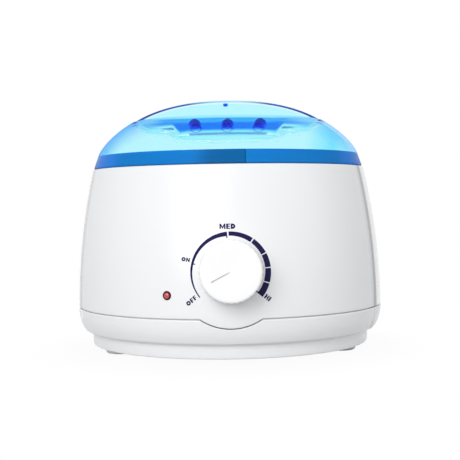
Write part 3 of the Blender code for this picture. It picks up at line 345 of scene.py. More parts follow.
def tube_along(route, radius, sides):
    """A circle carried along a route: each ring stands square to it, and the frame turns no more than
    the route does. The ends close on their middles."""
    route = np.asarray(route, float)
    heading = np.gradient(route, axis=0)
    heading /= np.linalg.norm(heading, axis=1)[:, None]
    across = np.zeros_like(heading)
    first = np.cross(heading[0], (0.0, 0.0, 1.0))
    across[0] = first / np.linalg.norm(first)
    for step in range(1, len(route)):
        carried = across[step - 1] - heading[step] * (across[step - 1] @ heading[step])
        across[step] = carried / np.linalg.norm(carried)
    other = np.cross(heading, across)
    turn = even_turns(sides)[:, :, None]
    edge = 0.3 * radius
    centres = np.concatenate([route[:1], route[:1], route, route[-1:], route[-1:]])
    sizes = np.concatenate([[0.0, radius - edge], np.full(len(route), radius), [radius - edge, 0.0]])
    centres[2] = route[0] + heading[0] * edge
    centres[-3] = route[-1] - heading[-1] * edge
    index = np.clip(np.arange(len(centres)) - 2, 0, len(route) - 1)
    ring = across[index][:, None, :] * np.cos(turn) + other[index][:, None, :] * np.sin(turn)
    return centres[:, None, :] + ring * sizes[:, None, None]


def piece(name, patches, sharp_angle=50.0):
    """One object from grids of points. Each patch is (points, joined across, joined along); equal
    points are welded, which closes seams and poles, and the faces are turned outwards."""
    points, faces, count = [], [], 0
    for grid, across, along in patches:
        rows, columns = grid.shape[:2]
        row = np.arange(rows if along else rows - 1)[:, None]
        column = np.arange(columns if across else columns - 1)[None, :]
        next_row, next_column = (row + 1) % rows, (column + 1) % columns
        corners = [row * columns + column, row * columns + next_column,
                   next_row * columns + next_column, next_row * columns + column]
        faces.append(np.stack(corners, axis=-1).reshape(-1, 4) + count)
        points.append(grid.reshape(-1, 3))
        count += rows * columns
    points, faces = np.concatenate(points), np.concatenate(faces)
    mesh = bpy.data.meshes.new(name)
    mesh.vertices.add(len(points))
    mesh.vertices.foreach_set("co", points.astype(np.float32).ravel())
    mesh.loops.add(faces.size)
    mesh.loops.foreach_set("vertex_index", faces.astype(np.int32).ravel())
    mesh.polygons.add(len(faces))
    mesh.polygons.foreach_set("loop_start", np.arange(0, faces.size, 4, dtype=np.int32))
    mesh.update(calc_edges=True)
    shape = bmesh.new()
    shape.from_mesh(mesh)
    bmesh.ops.remove_doubles(shape, verts=shape.verts, dist=WELD)
    bmesh.ops.dissolve_degenerate(shape, edges=shape.edges, dist=SLIVER)
    bmesh.ops.recalc_face_normals(shape, faces=shape.faces)
    shape.to_mesh(mesh)
    shape.free()
    mesh.shade_smooth()
    mesh.set_sharp_from_angle(angle=math.radians(sharp_angle))
    item = bpy.data.objects.new(name, mesh)
    bpy.context.scene.collection.objects.link(item)
    return item


def carved(item, cutter, operation="DIFFERENCE"):
    """Cuts a cutter out of an item, or joins it on, and keeps the result as the item's own mesh."""
    step = item.modifiers.new("carve", "BOOLEAN")
    step.operation = operation
    step.solver = "MANIFOLD"
    step.object = cutter
    evaluated = item.evaluated_get(bpy.context.evaluated_depsgraph_get())
    mesh = bpy.data.meshes.new_from_object(evaluated)
    item.modifiers.remove(step)
    old = item.data
    if len(mesh.vertices) in (0, len(old.vertices)):
        raise RuntimeError(f"{cutter.name} left {item.name} as it was")
    item.data = mesh
    bpy.data.meshes.remove(old)
    bpy.data.objects.remove(cutter)
    mesh.shade_smooth()
    mesh.set_sharp_from_angle(angle=math.radians(50.0))


def face_middles(item):
    """The middle of each face of an item."""
    middles = np.empty(len(item.data.polygons) * 3, np.float32)
    item.data.polygons.foreach_get("center", middles)
    return middles.reshape(-1, 3).astype(float)


# Shapes of the housing and base

def side_radius(height):
    """Upper wall: the widest radius less a parabola that reaches the rim's radius at the rim."""
    share = (height - PARTING_Z) / (RIM_Z - PARTING_Z)
    return WIDEST - (WIDEST - RIM_RADIUS) * share * share


def base_radius(height):
    """Base wall: a quarter ellipse from the shoulder up to the widest line."""
    share = (PARTING_Z - height) / (PARTING_Z - SHOULDER_Z)
    return WIDEST - SHOULDER_WIDTH + SHOULDER_WIDTH * np.sqrt(np.clip(1.0 - share * share, 0.0, 1.0))


def wall_radius(height):
    """Outer radius of the body between its side panels."""
    return np.where(height > PARTING_Z, side_radius(height), base_radius(height)) - PANEL_STEP


def panel_rise(turn, crease):
    """How far a side panel stands out at each angle: a smooth step at its edges, and a narrow crease
    shaped like a bell just outside it."""
    off_side = np.abs((turn + math.pi / 2) % math.pi - math.pi / 2)
    beyond = off_side - np.where(np.cos(turn) > 0.0, RIGHT_PANEL, LEFT_PANEL)
    rise = PANEL_STEP * (1.0 - wave(0.0, PANEL_EDGE_ANGLE, beyond))
    away = (beyond - PANEL_EDGE_ANGLE) / (CREASE_SHARE * PANEL_EDGE_ANGLE)
    return rise - crease * np.exp(-away * away)


def tongue_edge(turn, radius, level):
    """Height of the parting edge: a level line, dipping round a circle under the dial."""
    across = (WIDEST - PANEL_STEP) * np.cos(turn)
    below = DIAL_CENTRE.z - np.sqrt(np.maximum(radius * radius - across * across, 0.0))
    inside = (np.sin(turn) < 0.0) & (below < level) & (np.abs(across) < radius)
    return np.where(inside, below, level)


def shell_turns():
    """Angles round the shell: even ones, and close ones at the panels' edges and the tongue's corners."""
    even = np.linspace(0.0, TAU, 360, endpoint=False)
    near = PANEL_EDGE_ANGLE * (0.5 + np.linspace(-1.6, 1.6, 33))
    panels = ((0.0, RIGHT_PANEL), (math.pi, LEFT_PANEL))
    edges = np.concatenate([side + sign * (half + near) for side, half in panels for sign in (-1.0, 1.0)])
    turns = [even, edges % TAU]
    for radius, level in ((TONGUE_RADIUS, PARTING_Z), (TONGUE_RADIUS + SEAM, PARTING_Z - SEAM)):
        half = math.sqrt(radius ** 2 - (DIAL_CENTRE.z - level) ** 2)
        corner = math.asin(half / (WIDEST - PANEL_STEP))
        turns.append(1.5 * math.pi + np.array([-corner, corner]))
    return np.unique(np.round(np.concatenate(turns), 6))[None, :]


def housing_grid(edge, rim_edge, crease):
    """Upper housing: a closed section of depths behind the outer wall, carried round. Heights under the
    dial are stretched so that the lower edge follows the tongue."""
    ledge = RIM_Z - RIM_DEPTH
    under = RIM_Z - RIM_DEPTH - LEDGE_THICKNESS
    wall = HOUSING_WALL - PANEL_STEP

    def behind(radius, height):
        return float(wall_radius(np.array(height))) - radius, height

    rim_inner = RIM_RADIUS - PANEL_STEP - RIM_WIDTH
    corners = [(0.0, PARTING_Z), (0.0, RIM_Z), behind(rim_inner, RIM_Z), behind(rim_inner, ledge),
               behind(WELL_RADIUS, ledge), behind(WELL_RADIUS, under), (wall, under), (wall, PARTING_Z)]
    radii = [edge, rim_edge, rim_edge, 0.0, edge, edge, rim_edge, edge / 2]
    section = closed_section(corners, radii, HOUSING_STEP)
    inwards, height = section[:, :1], section[:, 1:]
    turn = shell_turns()
    middle = DIAL_CENTRE.z
    stretch = (middle - tongue_edge(turn, TONGUE_RADIUS, PARTING_Z)) / (middle - PARTING_Z)
    height = np.where(height < middle, middle - (middle - height) * stretch, height)
    outside = np.clip(1.0 - inwards / wall, 0.0, 1.0)
    radius = wall_radius(height) - inwards + panel_rise(turn, crease) * outside
    return round_grid(radius, height, turn) + (0.0, AXIS_Y, 0.0)


def base_grid(edge, crease):
    """Base: an open section from the middle of its underside, out round the foot ring, up the shoulder
    to the parting edge, over the lip and back to the middle of its floor, carried round."""
    top = PARTING_Z - SEAM
    floor_under = RING_Z + FLOOR_RECESS
    floor = floor_under + FLOOR_THICKNESS
    lip = WIDEST - HOUSING_WALL - GAP
    ring_inner = FOOT_RING_RADIUS - FOOT_RING_WIDTH
    under = [(0.0, floor_under), (ring_inner, floor_under), (ring_inner, RING_Z), (FOOT_RING_RADIUS, RING_Z),
             (FOOT_RING_RADIUS + FOOT_RING_DRAFT, SHOULDER_Z), (WIDEST - SHOULDER_WIDTH, SHOULDER_Z + edge)]
    under = rounded(under, [0.0, edge, edge, edge * 1.5, edge / 2, 0.0])
    swing = np.linspace(0.0, math.pi / 2, 15)[1:-1]
    curve_z = SHOULDER_Z + (PARTING_Z - SHOULDER_Z) * (1.0 - np.cos(swing))
    outer = np.stack([base_radius(curve_z), curve_z], axis=-1)
    outer = outer[(curve_z > SHOULDER_Z + 2.0 * edge) & (curve_z < top - edge)]
    middle_z = (SHOULDER_Z + PARTING_Z) / 2
    inner_wall = float(base_radius(np.array(middle_z))) - BASE_WALL - LIP_THICKNESS / 2
    over = [(WIDEST, top - 2 * edge), (WIDEST, top), (lip, top), (lip, PARTING_Z + LIP_HEIGHT),
            (lip - LIP_THICKNESS, PARTING_Z + LIP_HEIGHT), (inner_wall, middle_z),
            (FOOT_RING_RADIUS - BASE_WALL, SHOULDER_Z + BASE_WALL), (ring_inner, floor), (0.0, floor)]
    over = rounded(over, [0.0, edge, 0.0, edge, edge, edge, edge, edge, 0.0])
    section = resampled(np.concatenate([under, outer, over]), BASE_STEP)
    radius, height = section[:, :1], section[:, 1:]
    turn = shell_turns()
    edge_z = tongue_edge(turn, TONGUE_RADIUS + SEAM, top)
    start = SHOULDER_Z + 2.0 * edge
    stretch = (edge_z - start) / (top - start)
    moved = np.where(height > start, start + (height - start) * stretch, height)
    moved = np.where(height > top, edge_z + (height - top) * (edge_z >= top), moved)
    on_wall = (height > SHOULDER_Z + edge / 2) & (radius > WIDEST - SHOULDER_WIDTH - edge)
    on_wall &= radius >= base_radius(height) - 2.0 * edge
    follow = base_radius(moved) - base_radius(height)
    rise = (panel_rise(turn, crease) - PANEL_STEP) * wave(SHOULDER_Z, SHOULDER_Z + PANEL_FADE, moved)
    return round_grid(radius + np.where(on_wall, follow + rise, 0.0), moved, turn) + (0.0, AXIS_Y, 0.0)


# Shapes of the lid

def dome_height(radius):
    """Dome: its height times (1 less the radius share to the power 2.4), to the power 0.75."""
    share = np.clip(radius / BAND_RADIUS, 0.0, 1.0)
    return BAND_Z + (LID_HIGH.z - BAND_Z) * (1.0 - share ** DOME_POWER) ** DOME_ROUNDNESS


LIP_Z = float(dome_height(SCOOP_RADIUS))
RIDGE_Z = float(dome_height(RIDGE_HALF))
FLOOR_Z = BAND_Z + SCOOP_FLOOR


def inner_dome_height(radius):
    """The dome's curve moved one wall inwards, square to itself, read off at a radius."""
    reach = BAND_RADIUS * np.sin(np.linspace(0.0, math.pi / 2, 600))
    outer = np.stack([reach, dome_height(reach)], axis=-1)
    along = np.gradient(outer, axis=0)
    along /= np.linalg.norm(along, axis=1)[:, None]
    inner = outer + np.stack([along[:, 1], -along[:, 0]], axis=-1) * LID_WALL
    return np.interp(radius, np.maximum.accumulate(inner[:, 0]), inner[:, 1])


def lid_height(x, y, rounding, inside):
    """Height of a skin of the lid: the lesser of the dome and the greatest of the scoops' floor, its
    sloping lip and the ridge's wall. For the inner skin each of these is one wall lower."""
    radius, off_ridge = np.hypot(x, y), np.abs(y)
    wall = LID_WALL if inside else 0.0
    dome = inner_dome_height(radius) if inside else dome_height(radius)
    share = np.abs(x) / np.sqrt(np.maximum(SCOOP_RADIUS ** 2 - y * y, 1e-6))
    end_share = (np.minimum(share, 2.0) - SHELF_END_SHARE) / (1.0 - SHELF_END_SHARE)
    end = soft_max(end_share * (LIP_Z - FLOOR_Z - SHELF_RISE), 0.0, rounding)
    floor = FLOOR_Z + SHELF_RISE * wave(SHELF_START_SHARE, SHELF_TOP_SHARE, share) + end
    slope = LIP_Z - (SCOOP_RADIUS - radius)
    ridge = dome_height(np.hypot(x, RIDGE_HALF))
    run = RIDGE_FOOT - RIDGE_HALF
    ridge_wall = floor + (ridge - floor) * (RIDGE_FOOT - off_ridge) / run
    steep = math.hypot(1.0, (RIDGE_Z - FLOOR_Z) / run)
    hollow = soft_max(floor - wall, slope - wall * math.sqrt(2.0), 2.0 * rounding)
    hollow = soft_max(hollow, ridge_wall - wall * steep, rounding)
    return soft_min(dome, hollow, rounding)


def lid_patches(rounding):
    """Outer skin, belt and inner skin of the lid. Each skin is a disc of chords inside the scoops'
    circle and rings outside it; the belt carries the last ring round the band and the lip."""
    turn = np.linspace(-math.pi / 2, math.pi / 2, 117)
    near = np.linspace(-0.0015, 0.0015, 9)
    ridge_lines = [sign * place + near for sign in (-1, 1) for place in (RIDGE_HALF, RIDGE_FOOT)]
    rows = np.unique(np.round(np.concatenate([SCOOP_RADIUS * np.sin(turn)] + ridge_lines), 7))
    turn = np.linspace(-math.pi / 2, math.pi / 2, 109)
    shelf = np.concatenate([np.linspace(0.54, 0.69, 12), np.linspace(0.80, 0.87, 5)])
    shares = np.unique(np.round(np.concatenate([np.sin(turn), shelf, -shelf]), 6))
    y = rows[:, None] + 0.0 * shares[None, :]
    x = np.sqrt(np.maximum(SCOOP_RADIUS ** 2 - y * y, 0.0)) * shares[None, :]
    angles = np.concatenate([np.arctan2(y[:, -1], x[:, -1]), np.arctan2(y[-2:0:-1, 0], x[-2:0:-1, 0])])
    swing = np.sin(np.linspace(0.11, math.pi / 2, 24))
    out = np.concatenate([SCOOP_RADIUS + np.array([0.0, 0.0003, 0.0006, 0.0009, 0.0013]),
                          SCOOP_RADIUS + (BAND_RADIUS - SCOOP_RADIUS) * swing])
    patches, skins = [], (BAND_RADIUS, BAND_RADIUS - LID_WALL)
    for inside, last in enumerate(skins):
        reach = SCOOP_RADIUS + (out - SCOOP_RADIUS) * (last - SCOOP_RADIUS) / (BAND_RADIUS - SCOOP_RADIUS)
        ring_x, ring_y = reach[:, None] * np.cos(angles), reach[:, None] * np.sin(angles)
        height = lid_height(ring_x, ring_y, rounding, inside)
        height[-1] = BAND_Z
        patches.append((np.stack([x, y, lid_height(x, y, rounding, inside)], axis=-1), False, False))
        patches.append((np.stack([ring_x, ring_y, height], axis=-1), True, False))
    lip_outer = LID_HIGH.x + LID_INSET - RIM_WIDTH - PANEL_STEP - GAP
    lip_inner = lip_outer - LID_LIP_THICKNESS
    corners = [(skins[0], BAND_Z), (LID_HIGH.x, LID_Z), (lip_outer, LID_Z), (lip_outer, LID_LOW.z),
               (lip_inner, LID_LOW.z), (skins[1], BAND_Z)]
    belt = resampled(rounded(corners, BELT_ROUNDINGS), BELT_STEP)
    patches.append((round_grid(belt[:, :1], belt[:, 1:], angles[None, :]), True, False))
    return [(grid + np.array(BODY_AXIS), across, along) for grid, across, along in patches]


def vent_places():
    """Where the six steam vents pierce the ridge's walls: each a matrix whose Z points outwards."""
    fall, run = RIDGE_Z - BAND_Z - SCOOP_FLOOR, RIDGE_FOOT - RIDGE_HALF
    forward = RIDGE_HALF + run * VENT_DEPTH / fall
    return [Matrix.Translation((column * VENT_SPACING, AXIS_Y + side * forward, RIDGE_Z - VENT_DEPTH))
            @ Matrix.Rotation(-side * math.atan2(fall, run), 4, "X")
            for side in (-1, 1) for column in (-1, 0, 1)]


def collar_grid(length, upwards):
    """A vent's collar: a thin closed section carried round. Its length is full above the vent and fades
    to a tenth below it, and it narrows by a third on its way in."""
    inner, outer = COLLAR_RADII
    down = np.linspace(0.0, -1.0, 9)
    section = np.concatenate([[(inner, 0.0)], np.stack([0.0 * down + outer, down], axis=-1),
                              np.stack([0.0 * down + inner, down[::-1]], axis=-1)[:-1]])
    turn = even_turns(48)
    share = 0.1 + 0.9 * wave(-0.5, 0.9, math.copysign(1.0, upwards) * np.sin(turn))
    inwards = -section[:, 1:] * share
    return round_grid(section[:, :1] * (1.0 - 0.33 * inwards), -length * inwards, turn)


# Shapes of the dial, the lamp and the pot

def upright_on(place, out):
    """A matrix at a place whose Z points out and whose Y leans upwards."""
    out = out.normalized()
    side = Vector((0.0, 0.0, 1.0)).cross(out).normalized()
    turn = Matrix((side, out.cross(side), out)).transposed().to_4x4()
    return Matrix.Translation(place) @ turn


def lamp_place():
    """The lamp stands square to the wall, a number of degrees left of the dial."""
    angle = math.radians(270.0 - LAMP_ANGLE)
    height = (LENS_LOW.z + LENS_HIGH.z) / 2 + LAMP_RAISE
    radius = float(wall_radius(np.array(height)))
    share = (height - PARTING_Z) / (RIM_Z - PARTING_Z)
    slope = 2.0 * (WIDEST - RIM_RADIUS) * share / (RIM_Z - PARTING_Z)
    away = Vector((math.cos(angle), math.sin(angle), 0.0))
    spot = BODY_AXIS + away * radius + Vector((0.0, 0.0, height))
    return upright_on(spot, away + Vector((0.0, 0.0, slope)))


def knob_grid(notches, depth):
    """Knob: a section from the middle of its face, round its edge, down the skirt and up inside to the
    hub's bore, carried round. The skirt's radius dips in each notch by the cube of a raised cosine."""
    reach = np.linspace(0.0, DISH_RADIUS, 14)
    dish = np.stack([reach, KNOB_FACE - DISH_DEPTH * (1.0 - (reach / DISH_RADIUS) ** 2) ** 2], axis=-1)
    outer = [dish[-1], (KNOB_TOP_RADIUS, KNOB_FACE), (KNOB_RADIUS, KNOB_LOW)]
    outer = rounded(outer, [0.0, KNOB_EDGE, 0.0], steps=10)
    outer = resampled(np.concatenate([dish[:-1], outer]), KNOB_STEP)
    inner, bore_top = KNOB_RADIUS - KNOB_DRAFT - KNOB_WALL, KNOB_UNDER - GAP
    inside = rounded([(KNOB_RADIUS, KNOB_LOW), (inner, KNOB_LOW), (inner - KNOB_DRAFT, KNOB_UNDER),
                      (HUB_RADIUS, KNOB_UNDER), (HUB_RADIUS, HUB_LOW), (HUB_BORE, HUB_LOW),
                      (HUB_BORE, bore_top), (0.0, bore_top)], KNOB_INSIDE_ROUNDINGS)
    section = np.concatenate([outer, resampled(inside[1:], KNOB_INSIDE_STEP)])
    turn = even_turns(notches * 14)
    radius, height = section[:, :1], section[:, 1:]
    on_skirt = (np.arange(len(section)) < len(outer))[:, None]
    share = on_skirt * wave(*(KNOB_FACE - fade for fade in NOTCH_FADE_Z), height)
    share = share * wave(*(KNOB_TOP_RADIUS - fade for fade in NOTCH_FADE_RADIUS), radius)
    dent = (0.5 - 0.5 * np.cos(notches * turn)) ** 3
    return round_grid(radius - depth * share * dent, height, turn)


def laid_on_wall(x, y, lift):
    """Points of the dial's plane carried along its axis onto the housing wall, a little proud of it:
    the meeting of a line with the wall's curve, found in eight even corrections."""
    axes = np.array(upright_on(DIAL_CENTRE, DIAL_OUT))[:3, :3]
    start = x[..., None] * axes[:, 0] + y[..., None] * axes[:, 1]
    start = start + np.array(DIAL_CENTRE) - np.array(BODY_AXIS)
    depth = np.zeros_like(x)
    for _ in range(8):
        spot = start + depth[..., None] * axes[:, 2]
        depth += wall_radius(spot[..., 2]) - np.hypot(spot[..., 0], spot[..., 1])
    return start + (depth + lift)[..., None] * axes[:, 2] + np.array(BODY_AXIS)


def print_patch(x, y):
    """A thin closed sheet over a grid of places on the dial: a face, a back and the strip between."""
    front, back = laid_on_wall(x, y, PRINT_LIFT + PRINT_THICKNESS), laid_on_wall(x, y, PRINT_LIFT)
    rim = [np.concatenate([grid[0, :], grid[1:, -1], grid[-1, -2::-1], grid[-2:0:-1, 0]])
           for grid in (front, back)]
    return [(front, False, False), (back, False, False), (np.stack(rim), True, False)]


def arc_patch(inner, outer, start, end):
    """A bent bar of the scale: angles in degrees, radii as numbers or functions of the angle."""
    angle = np.linspace(start, end, int(abs(end - start) / 2.0) + 3)[:, None]
    low, high = (edge(angle) if callable(edge) else edge for edge in (inner, outer))
    share = np.linspace(0.0, 1.0, 3)[None, :]
    radius = low * (1.0 - share) + high * share
    return print_patch(radius * np.cos(np.radians(angle)), radius * np.sin(np.radians(angle)))


def bar(*corners):
    """A stroke of a letter between four corners: the mean of its two ends, weighed by both shares."""
    along, across = np.linspace(0.0, 1.0, 5)[:, None], np.linspace(0.0, 1.0, 3)[None, :]
    first, second, third, fourth = (np.array(corner, float)[:, None, None] for corner in corners)
    return ((first * (1.0 - along) + second * along) * (1.0 - across)
            + (fourth * (1.0 - along) + third * along) * across)


def box_bar(left, low, right, high):
    """An upright or level stroke."""
    return bar((left, low), (left, high), (right, high), (right, low))


def bowl(middle, half_width, start, end):
    """A round stroke: an ellipse half a letter high, with a second one inside it."""
    angle = np.radians(np.linspace(start, end, 33))[:, None]
    inset = np.linspace(0.0, STROKE, 3)[None, :]
    return middle + (half_width - inset) * np.cos(angle), 0.5 + (0.5 - inset) * np.sin(angle)


# Letters as (width, strokes) and words as (text, left of the dial, above it, lean in degrees, height)
STROKE, M_STROKE, N_STROKE = 0.33, 0.26, 0.25
LETTER_GAP = 0.15
STEM = box_bar(0.0, 0.0, STROKE, 1.0)
LETTERS = {
    "O": (1.0, [bowl(0.5, 0.5, 0.0, 360.0)]),
    "D": (0.86, [STEM, bowl(0.30, 0.56, -90.0, 90.0), box_bar(STROKE, 0.0, 0.30, STROKE),
                 box_bar(STROKE, 1.0 - STROKE, 0.30, 1.0)]),
    "E": (0.72, [STEM, box_bar(STROKE, 0.0, 0.72, 0.2), box_bar(STROKE, 0.41, 0.66, 0.59),
                 box_bar(STROKE, 0.8, 0.72, 1.0)]),
    "F": (0.68, [STEM, box_bar(STROKE, 0.38, 0.60, 0.57), box_bar(STROKE, 0.8, 0.68, 1.0)]),
    "H": (0.84, [STEM, box_bar(0.58, 0.0, 0.84, 1.0), box_bar(STROKE, 0.4, 0.58, 0.6)]),
    "I": (STROKE, [STEM]),
    "M": (1.12, [box_bar(0.0, 0.0, M_STROKE, 1.0), box_bar(0.86, 0.0, 1.12, 1.0),
                 bar((M_STROKE, 1.0), (0.56, 0.44), (0.56, 0.0), (M_STROKE, 0.56)),
                 bar((0.86, 1.0), (0.56, 0.44), (0.56, 0.0), (0.86, 0.56))]),
    "N": (0.88, [box_bar(0.0, 0.0, N_STROKE, 1.0), box_bar(0.63, 0.0, 0.88, 1.0),
                 bar((N_STROKE, 1.0), (0.63, 0.42), (0.63, 0.0), (N_STROKE, 0.58))]),
}
DIAL_WORDS = (("OFF", 0.0211, -0.0150, 40.0, 0.0024), ("ON", 0.0239, 0.0070, -9.0, 0.0022),
              ("MED", 0.0014, 0.0243, 0.0, 0.0028), ("HI", -0.0195, -0.0139, -38.0, 0.0026))


def vessel_grid(radius, wall, corner, under_z, flange_high, flange_radius):
    """A round-cornered pot: its section runs under its floor, up its side, round the flange and back
    inside, and is carried round the body's axis."""
    flange_low, inner = flange_high - FLANGE_THICKNESS, radius - wall
    corners = [(0.0, under_z), (radius, under_z), (radius, flange_low), (flange_radius, flange_low),
               (flange_radius, flange_high), (inner, flange_high), (inner, under_z + wall),
               (0.0, under_z + wall)]
    radii = [0.0, corner, FLANGE_EDGE, FLANGE_EDGE, FLANGE_EDGE, 2 * FLANGE_EDGE, corner - wall, 0.0]
    return turned(resampled(rounded(corners, radii, steps=8), VESSEL_STEP), 160) + np.array(BODY_AXIS)


def bail_route():
    """Half a hoop about the bail's axis whose ends turn inwards through the ears: the hoop's corner is
    a quarter of an ellipse between the ear's hole and the hoop."""
    ear_face = max(abs(EAR_HIGH.x), abs(EAR_LOW.x))
    reach = BAIL_HIGH.x - WIRE_RADIUS
    slope = (BAIL_AXIS.z - BAIL_LOW.z - WIRE_RADIUS) / reach
    swing = np.linspace(BAIL_END_ANGLE, math.pi - BAIL_END_ANGLE, 61)
    hoop = np.stack([reach * np.cos(swing), reach * np.sin(swing)], axis=-1)
    across, along = hoop[0] - (BAIL_BEND, 0.0)
    hook = np.linspace(ear_face - EAR_THICKNESS - HOOK_LENGTH, across, 4)
    straight = np.stack([hook, np.zeros(4)], axis=-1)
    turn = np.linspace(0.0, math.pi / 2, 7)[1:-1]
    curl = np.stack([across + BAIL_BEND * np.sin(turn), along * (1.0 - np.cos(turn))], axis=-1)
    half = np.concatenate([straight, curl])
    path = np.concatenate([half, hoop, (half * (-1.0, 1.0))[::-1]])
    return np.stack([path[:, 0], path[:, 1], -path[:, 1] * slope], axis=-1) + np.array(BAIL_AXIS)


# Finishes, with the tints of the clear parts by place

SPUN_RINGS = 1800.0
WRAP_RADIUS = 0.065
THIN_CLEAR = {"ior": 1.003, "transmission_weight": 1.0, "coat_roughness": 0.03}
STREAK_TINT, LEFT_END_TINT = (0.20, 0.80, 1.0), (0.46, 0.90, 0.96)
SCOOP_FLOOR_TINT, LIP_LINE_TINT = (0.97, 0.995, 1.0), (0.01, 0.17, 0.55)
DOME_EDGE_TINT, CREST_TINT = (0.02, 0.40, 0.96), (0.0004, 0.007, 0.22)
BAND_NEAR_SIDE_TINT, BAND_SIDE_TINT = (0.03, 0.27, 0.84), (0.02, 0.05, 0.42)
VENT_TINT, VENT_TOP_TINT = (0.003, 0.16, 0.95), (0.0004, 0.015, 0.40)
GATE_TINT, GATE_EDGE_TINT = (0.004, 0.15, 0.95), (0.0005, 0.03, 0.50)


class Shade:
    """A socket of a shader's node tree that takes the signs of arithmetic; each sign adds a node."""

    def __init__(self, tree, socket=None):
        self.tree = tree
        self.socket = socket

    def made(self, kind, settings=None, inputs=None, output=0):
        """One more node: its settings are set first, then its inputs are filled or linked."""
        node = self.tree.nodes.new(kind)
        for name, value in (settings or {}).items():
            setattr(node, name, value)
        for key, value in (inputs or {}).items():
            if isinstance(value, Shade):
                self.tree.links.new(value.socket, node.inputs[key])
            else:
                node.inputs[key].default_value = value
        return Shade(self.tree, node.outputs[output])

    def maths(self, operation, *values):
        return self.made("ShaderNodeMath", {"operation": operation}, dict(enumerate(values)))

    def __add__(self, other):
        return self.maths("ADD", self, other)

    def __sub__(self, other):
        return self.maths("SUBTRACT", self, other)

    def __rsub__(self, other):
        return self.maths("SUBTRACT", other, self)

    def __mul__(self, other):
        return self.maths("MULTIPLY", self, other)

    def __pow__(self, other):
        return self.maths("POWER", self, other)

    def __rpow__(self, other):
        return self.maths("POWER", other, self)

    def __neg__(self):
        return self.maths("MULTIPLY", self, -1.0)

    def __abs__(self):
        return self.maths("ABSOLUTE", self)

    __radd__ = __add__
    __rmul__ = __mul__

    def step(self, low, high):
        """A smooth step from 0 at low to 1 at high."""
        return self.made("ShaderNodeMapRange", {"interpolation_type": "SMOOTHSTEP"},
                         {"Value": self, "From Min": low, "From Max": high})

    def between(self, start, full, last, end):
        """0 up to a start and from an end on, 1 between full and last, with smooth steps."""
        return self.step(start, full) * (1.0 - self.step(last, end))

    def mix(self, first, second):
        """This share of the way from the first colour to the second."""
        colours = {key: value if isinstance(value, Shade) else (*value, 1.0)
                   for key, value in ((6, first), (7, second))}
        return self.made("ShaderNodeMix", {"data_type": "RGBA"}, {0: self, **colours}, output=2)

    def mix_shader(self, first, second):
        """This share of the way from the first shader to the second."""
        return self.made("ShaderNodeMixShader", inputs={0: self, 1: first, 2: second})

    def place(self, *scale):
        """Places in the piece's own metres, multiplied along each axis or along all by one number."""
        spot = self.made("ShaderNodeTexCoord", output=3)
        if not scale:
            return spot
        scale = scale * 3 if len(scale) == 1 else scale
        return self.made("ShaderNodeVectorMath", {"operation": "MULTIPLY"}, {0: spot, 1: scale})

    def axes(self):
        """The three coordinates of a place."""
        parts = self.made("ShaderNodeSeparateXYZ", inputs={0: self.place()}).socket.node
        return [Shade(self.tree, parts.outputs[index]) for index in range(3)]

    def noise(self, *scale, detail=2.0):
        """Noise from 0 to 1 over the place, finer along an axis with a greater scale."""
        return self.made("ShaderNodeTexNoise", {"noise_dimensions": "3D"},
                         {"Vector": self.place(*scale), "Scale": 1.0, "Detail": detail})

    def edge(self, blend):
        """0 where the surface faces the eye, up to 1 where it is seen along its length."""
        return self.made("ShaderNodeLayerWeight", inputs={"Blend": blend}, output=1)

    def bump(self, height, depth):
        """A bump of so many metres from a height of 0 to 1."""
        return self.made("ShaderNodeBump", inputs={"Height": height, "Distance": depth})

    def rays(self, *kinds):
        """1 for rays of the given kinds and 0 for others."""
        outputs = self.made("ShaderNodeLightPath").socket.node.outputs
        shares = [Shade(self.tree, outputs[f"Is {kind} Ray"]) for kind in kinds]
        total = sum(shares[1:], shares[0])
        return self.maths("MINIMUM", total, 1.0) if len(kinds) > 1 else total


def off_axis(x, y):
    """Distance from the body's axis."""
    return (x * x + (y - AXIS_Y) ** 2.0) ** 0.5


def scaled(colour, share):
    return tuple(channel * share for channel in colour)


def new_finish(name, varying=None, surface=None, **uniform):
    """A material with one Principled shader, made once for each name. The uniform values are set by the
    sockets' names, and varying gives what changes over the surface. Surface may lay more on the shader."""
    material = bpy.data.materials.get(name)
    if material:
        return material
    material = bpy.data.materials.new(name)
    material.use_nodes = True
    tree = material.node_tree
    shader, shade = tree.nodes["Principled BSDF"], Shade(tree)

    def socket(key):
        return shader.inputs[key.replace("_", " ").title().replace("Ior", "IOR")]

    for key, value in uniform.items():
        socket(key).default_value = (*value, 1.0) if isinstance(value, tuple) else value
    for key, value in (varying(shade) if varying else {}).items():
        tree.links.new(value.socket, socket(key))
    if surface:
        result = surface(shade, Shade(tree, shader.outputs[0]))
        tree.links.new(result.socket, tree.nodes["Material Output"].inputs["Surface"])
    return material


def lit_through(tint, share=1.0):
    """Lets light into a clear part: rays that only ask for shadow pass it with the root of its tint."""
    def surface(shade, plain):
        passed = tuple(channel ** 0.5 for channel in tint)
        ghost = shade.made("ShaderNodeBsdfTransparent", inputs={"Color": (*passed, 1.0)})
        return (shade.rays("Shadow") * share).mix_shader(plain, ghost)
    return surface


def moulded(name, colour, roughness, grain=1400.0, depth=0.00001, mottle=0.03, spread=0.05, **uniform):
    """Moulded plastic or rubber: a faint mottling of the colour, uneven gloss and a fine skin."""
    def varying(shade):
        fine = shade.noise(grain, detail=1.0)
        return {"base_color": fine.mix(scaled(colour, 1.0 - mottle), colour),
                "roughness": roughness - spread / 2 + fine * spread, "normal": shade.bump(fine, depth)}
    return new_finish(name, varying, **uniform)


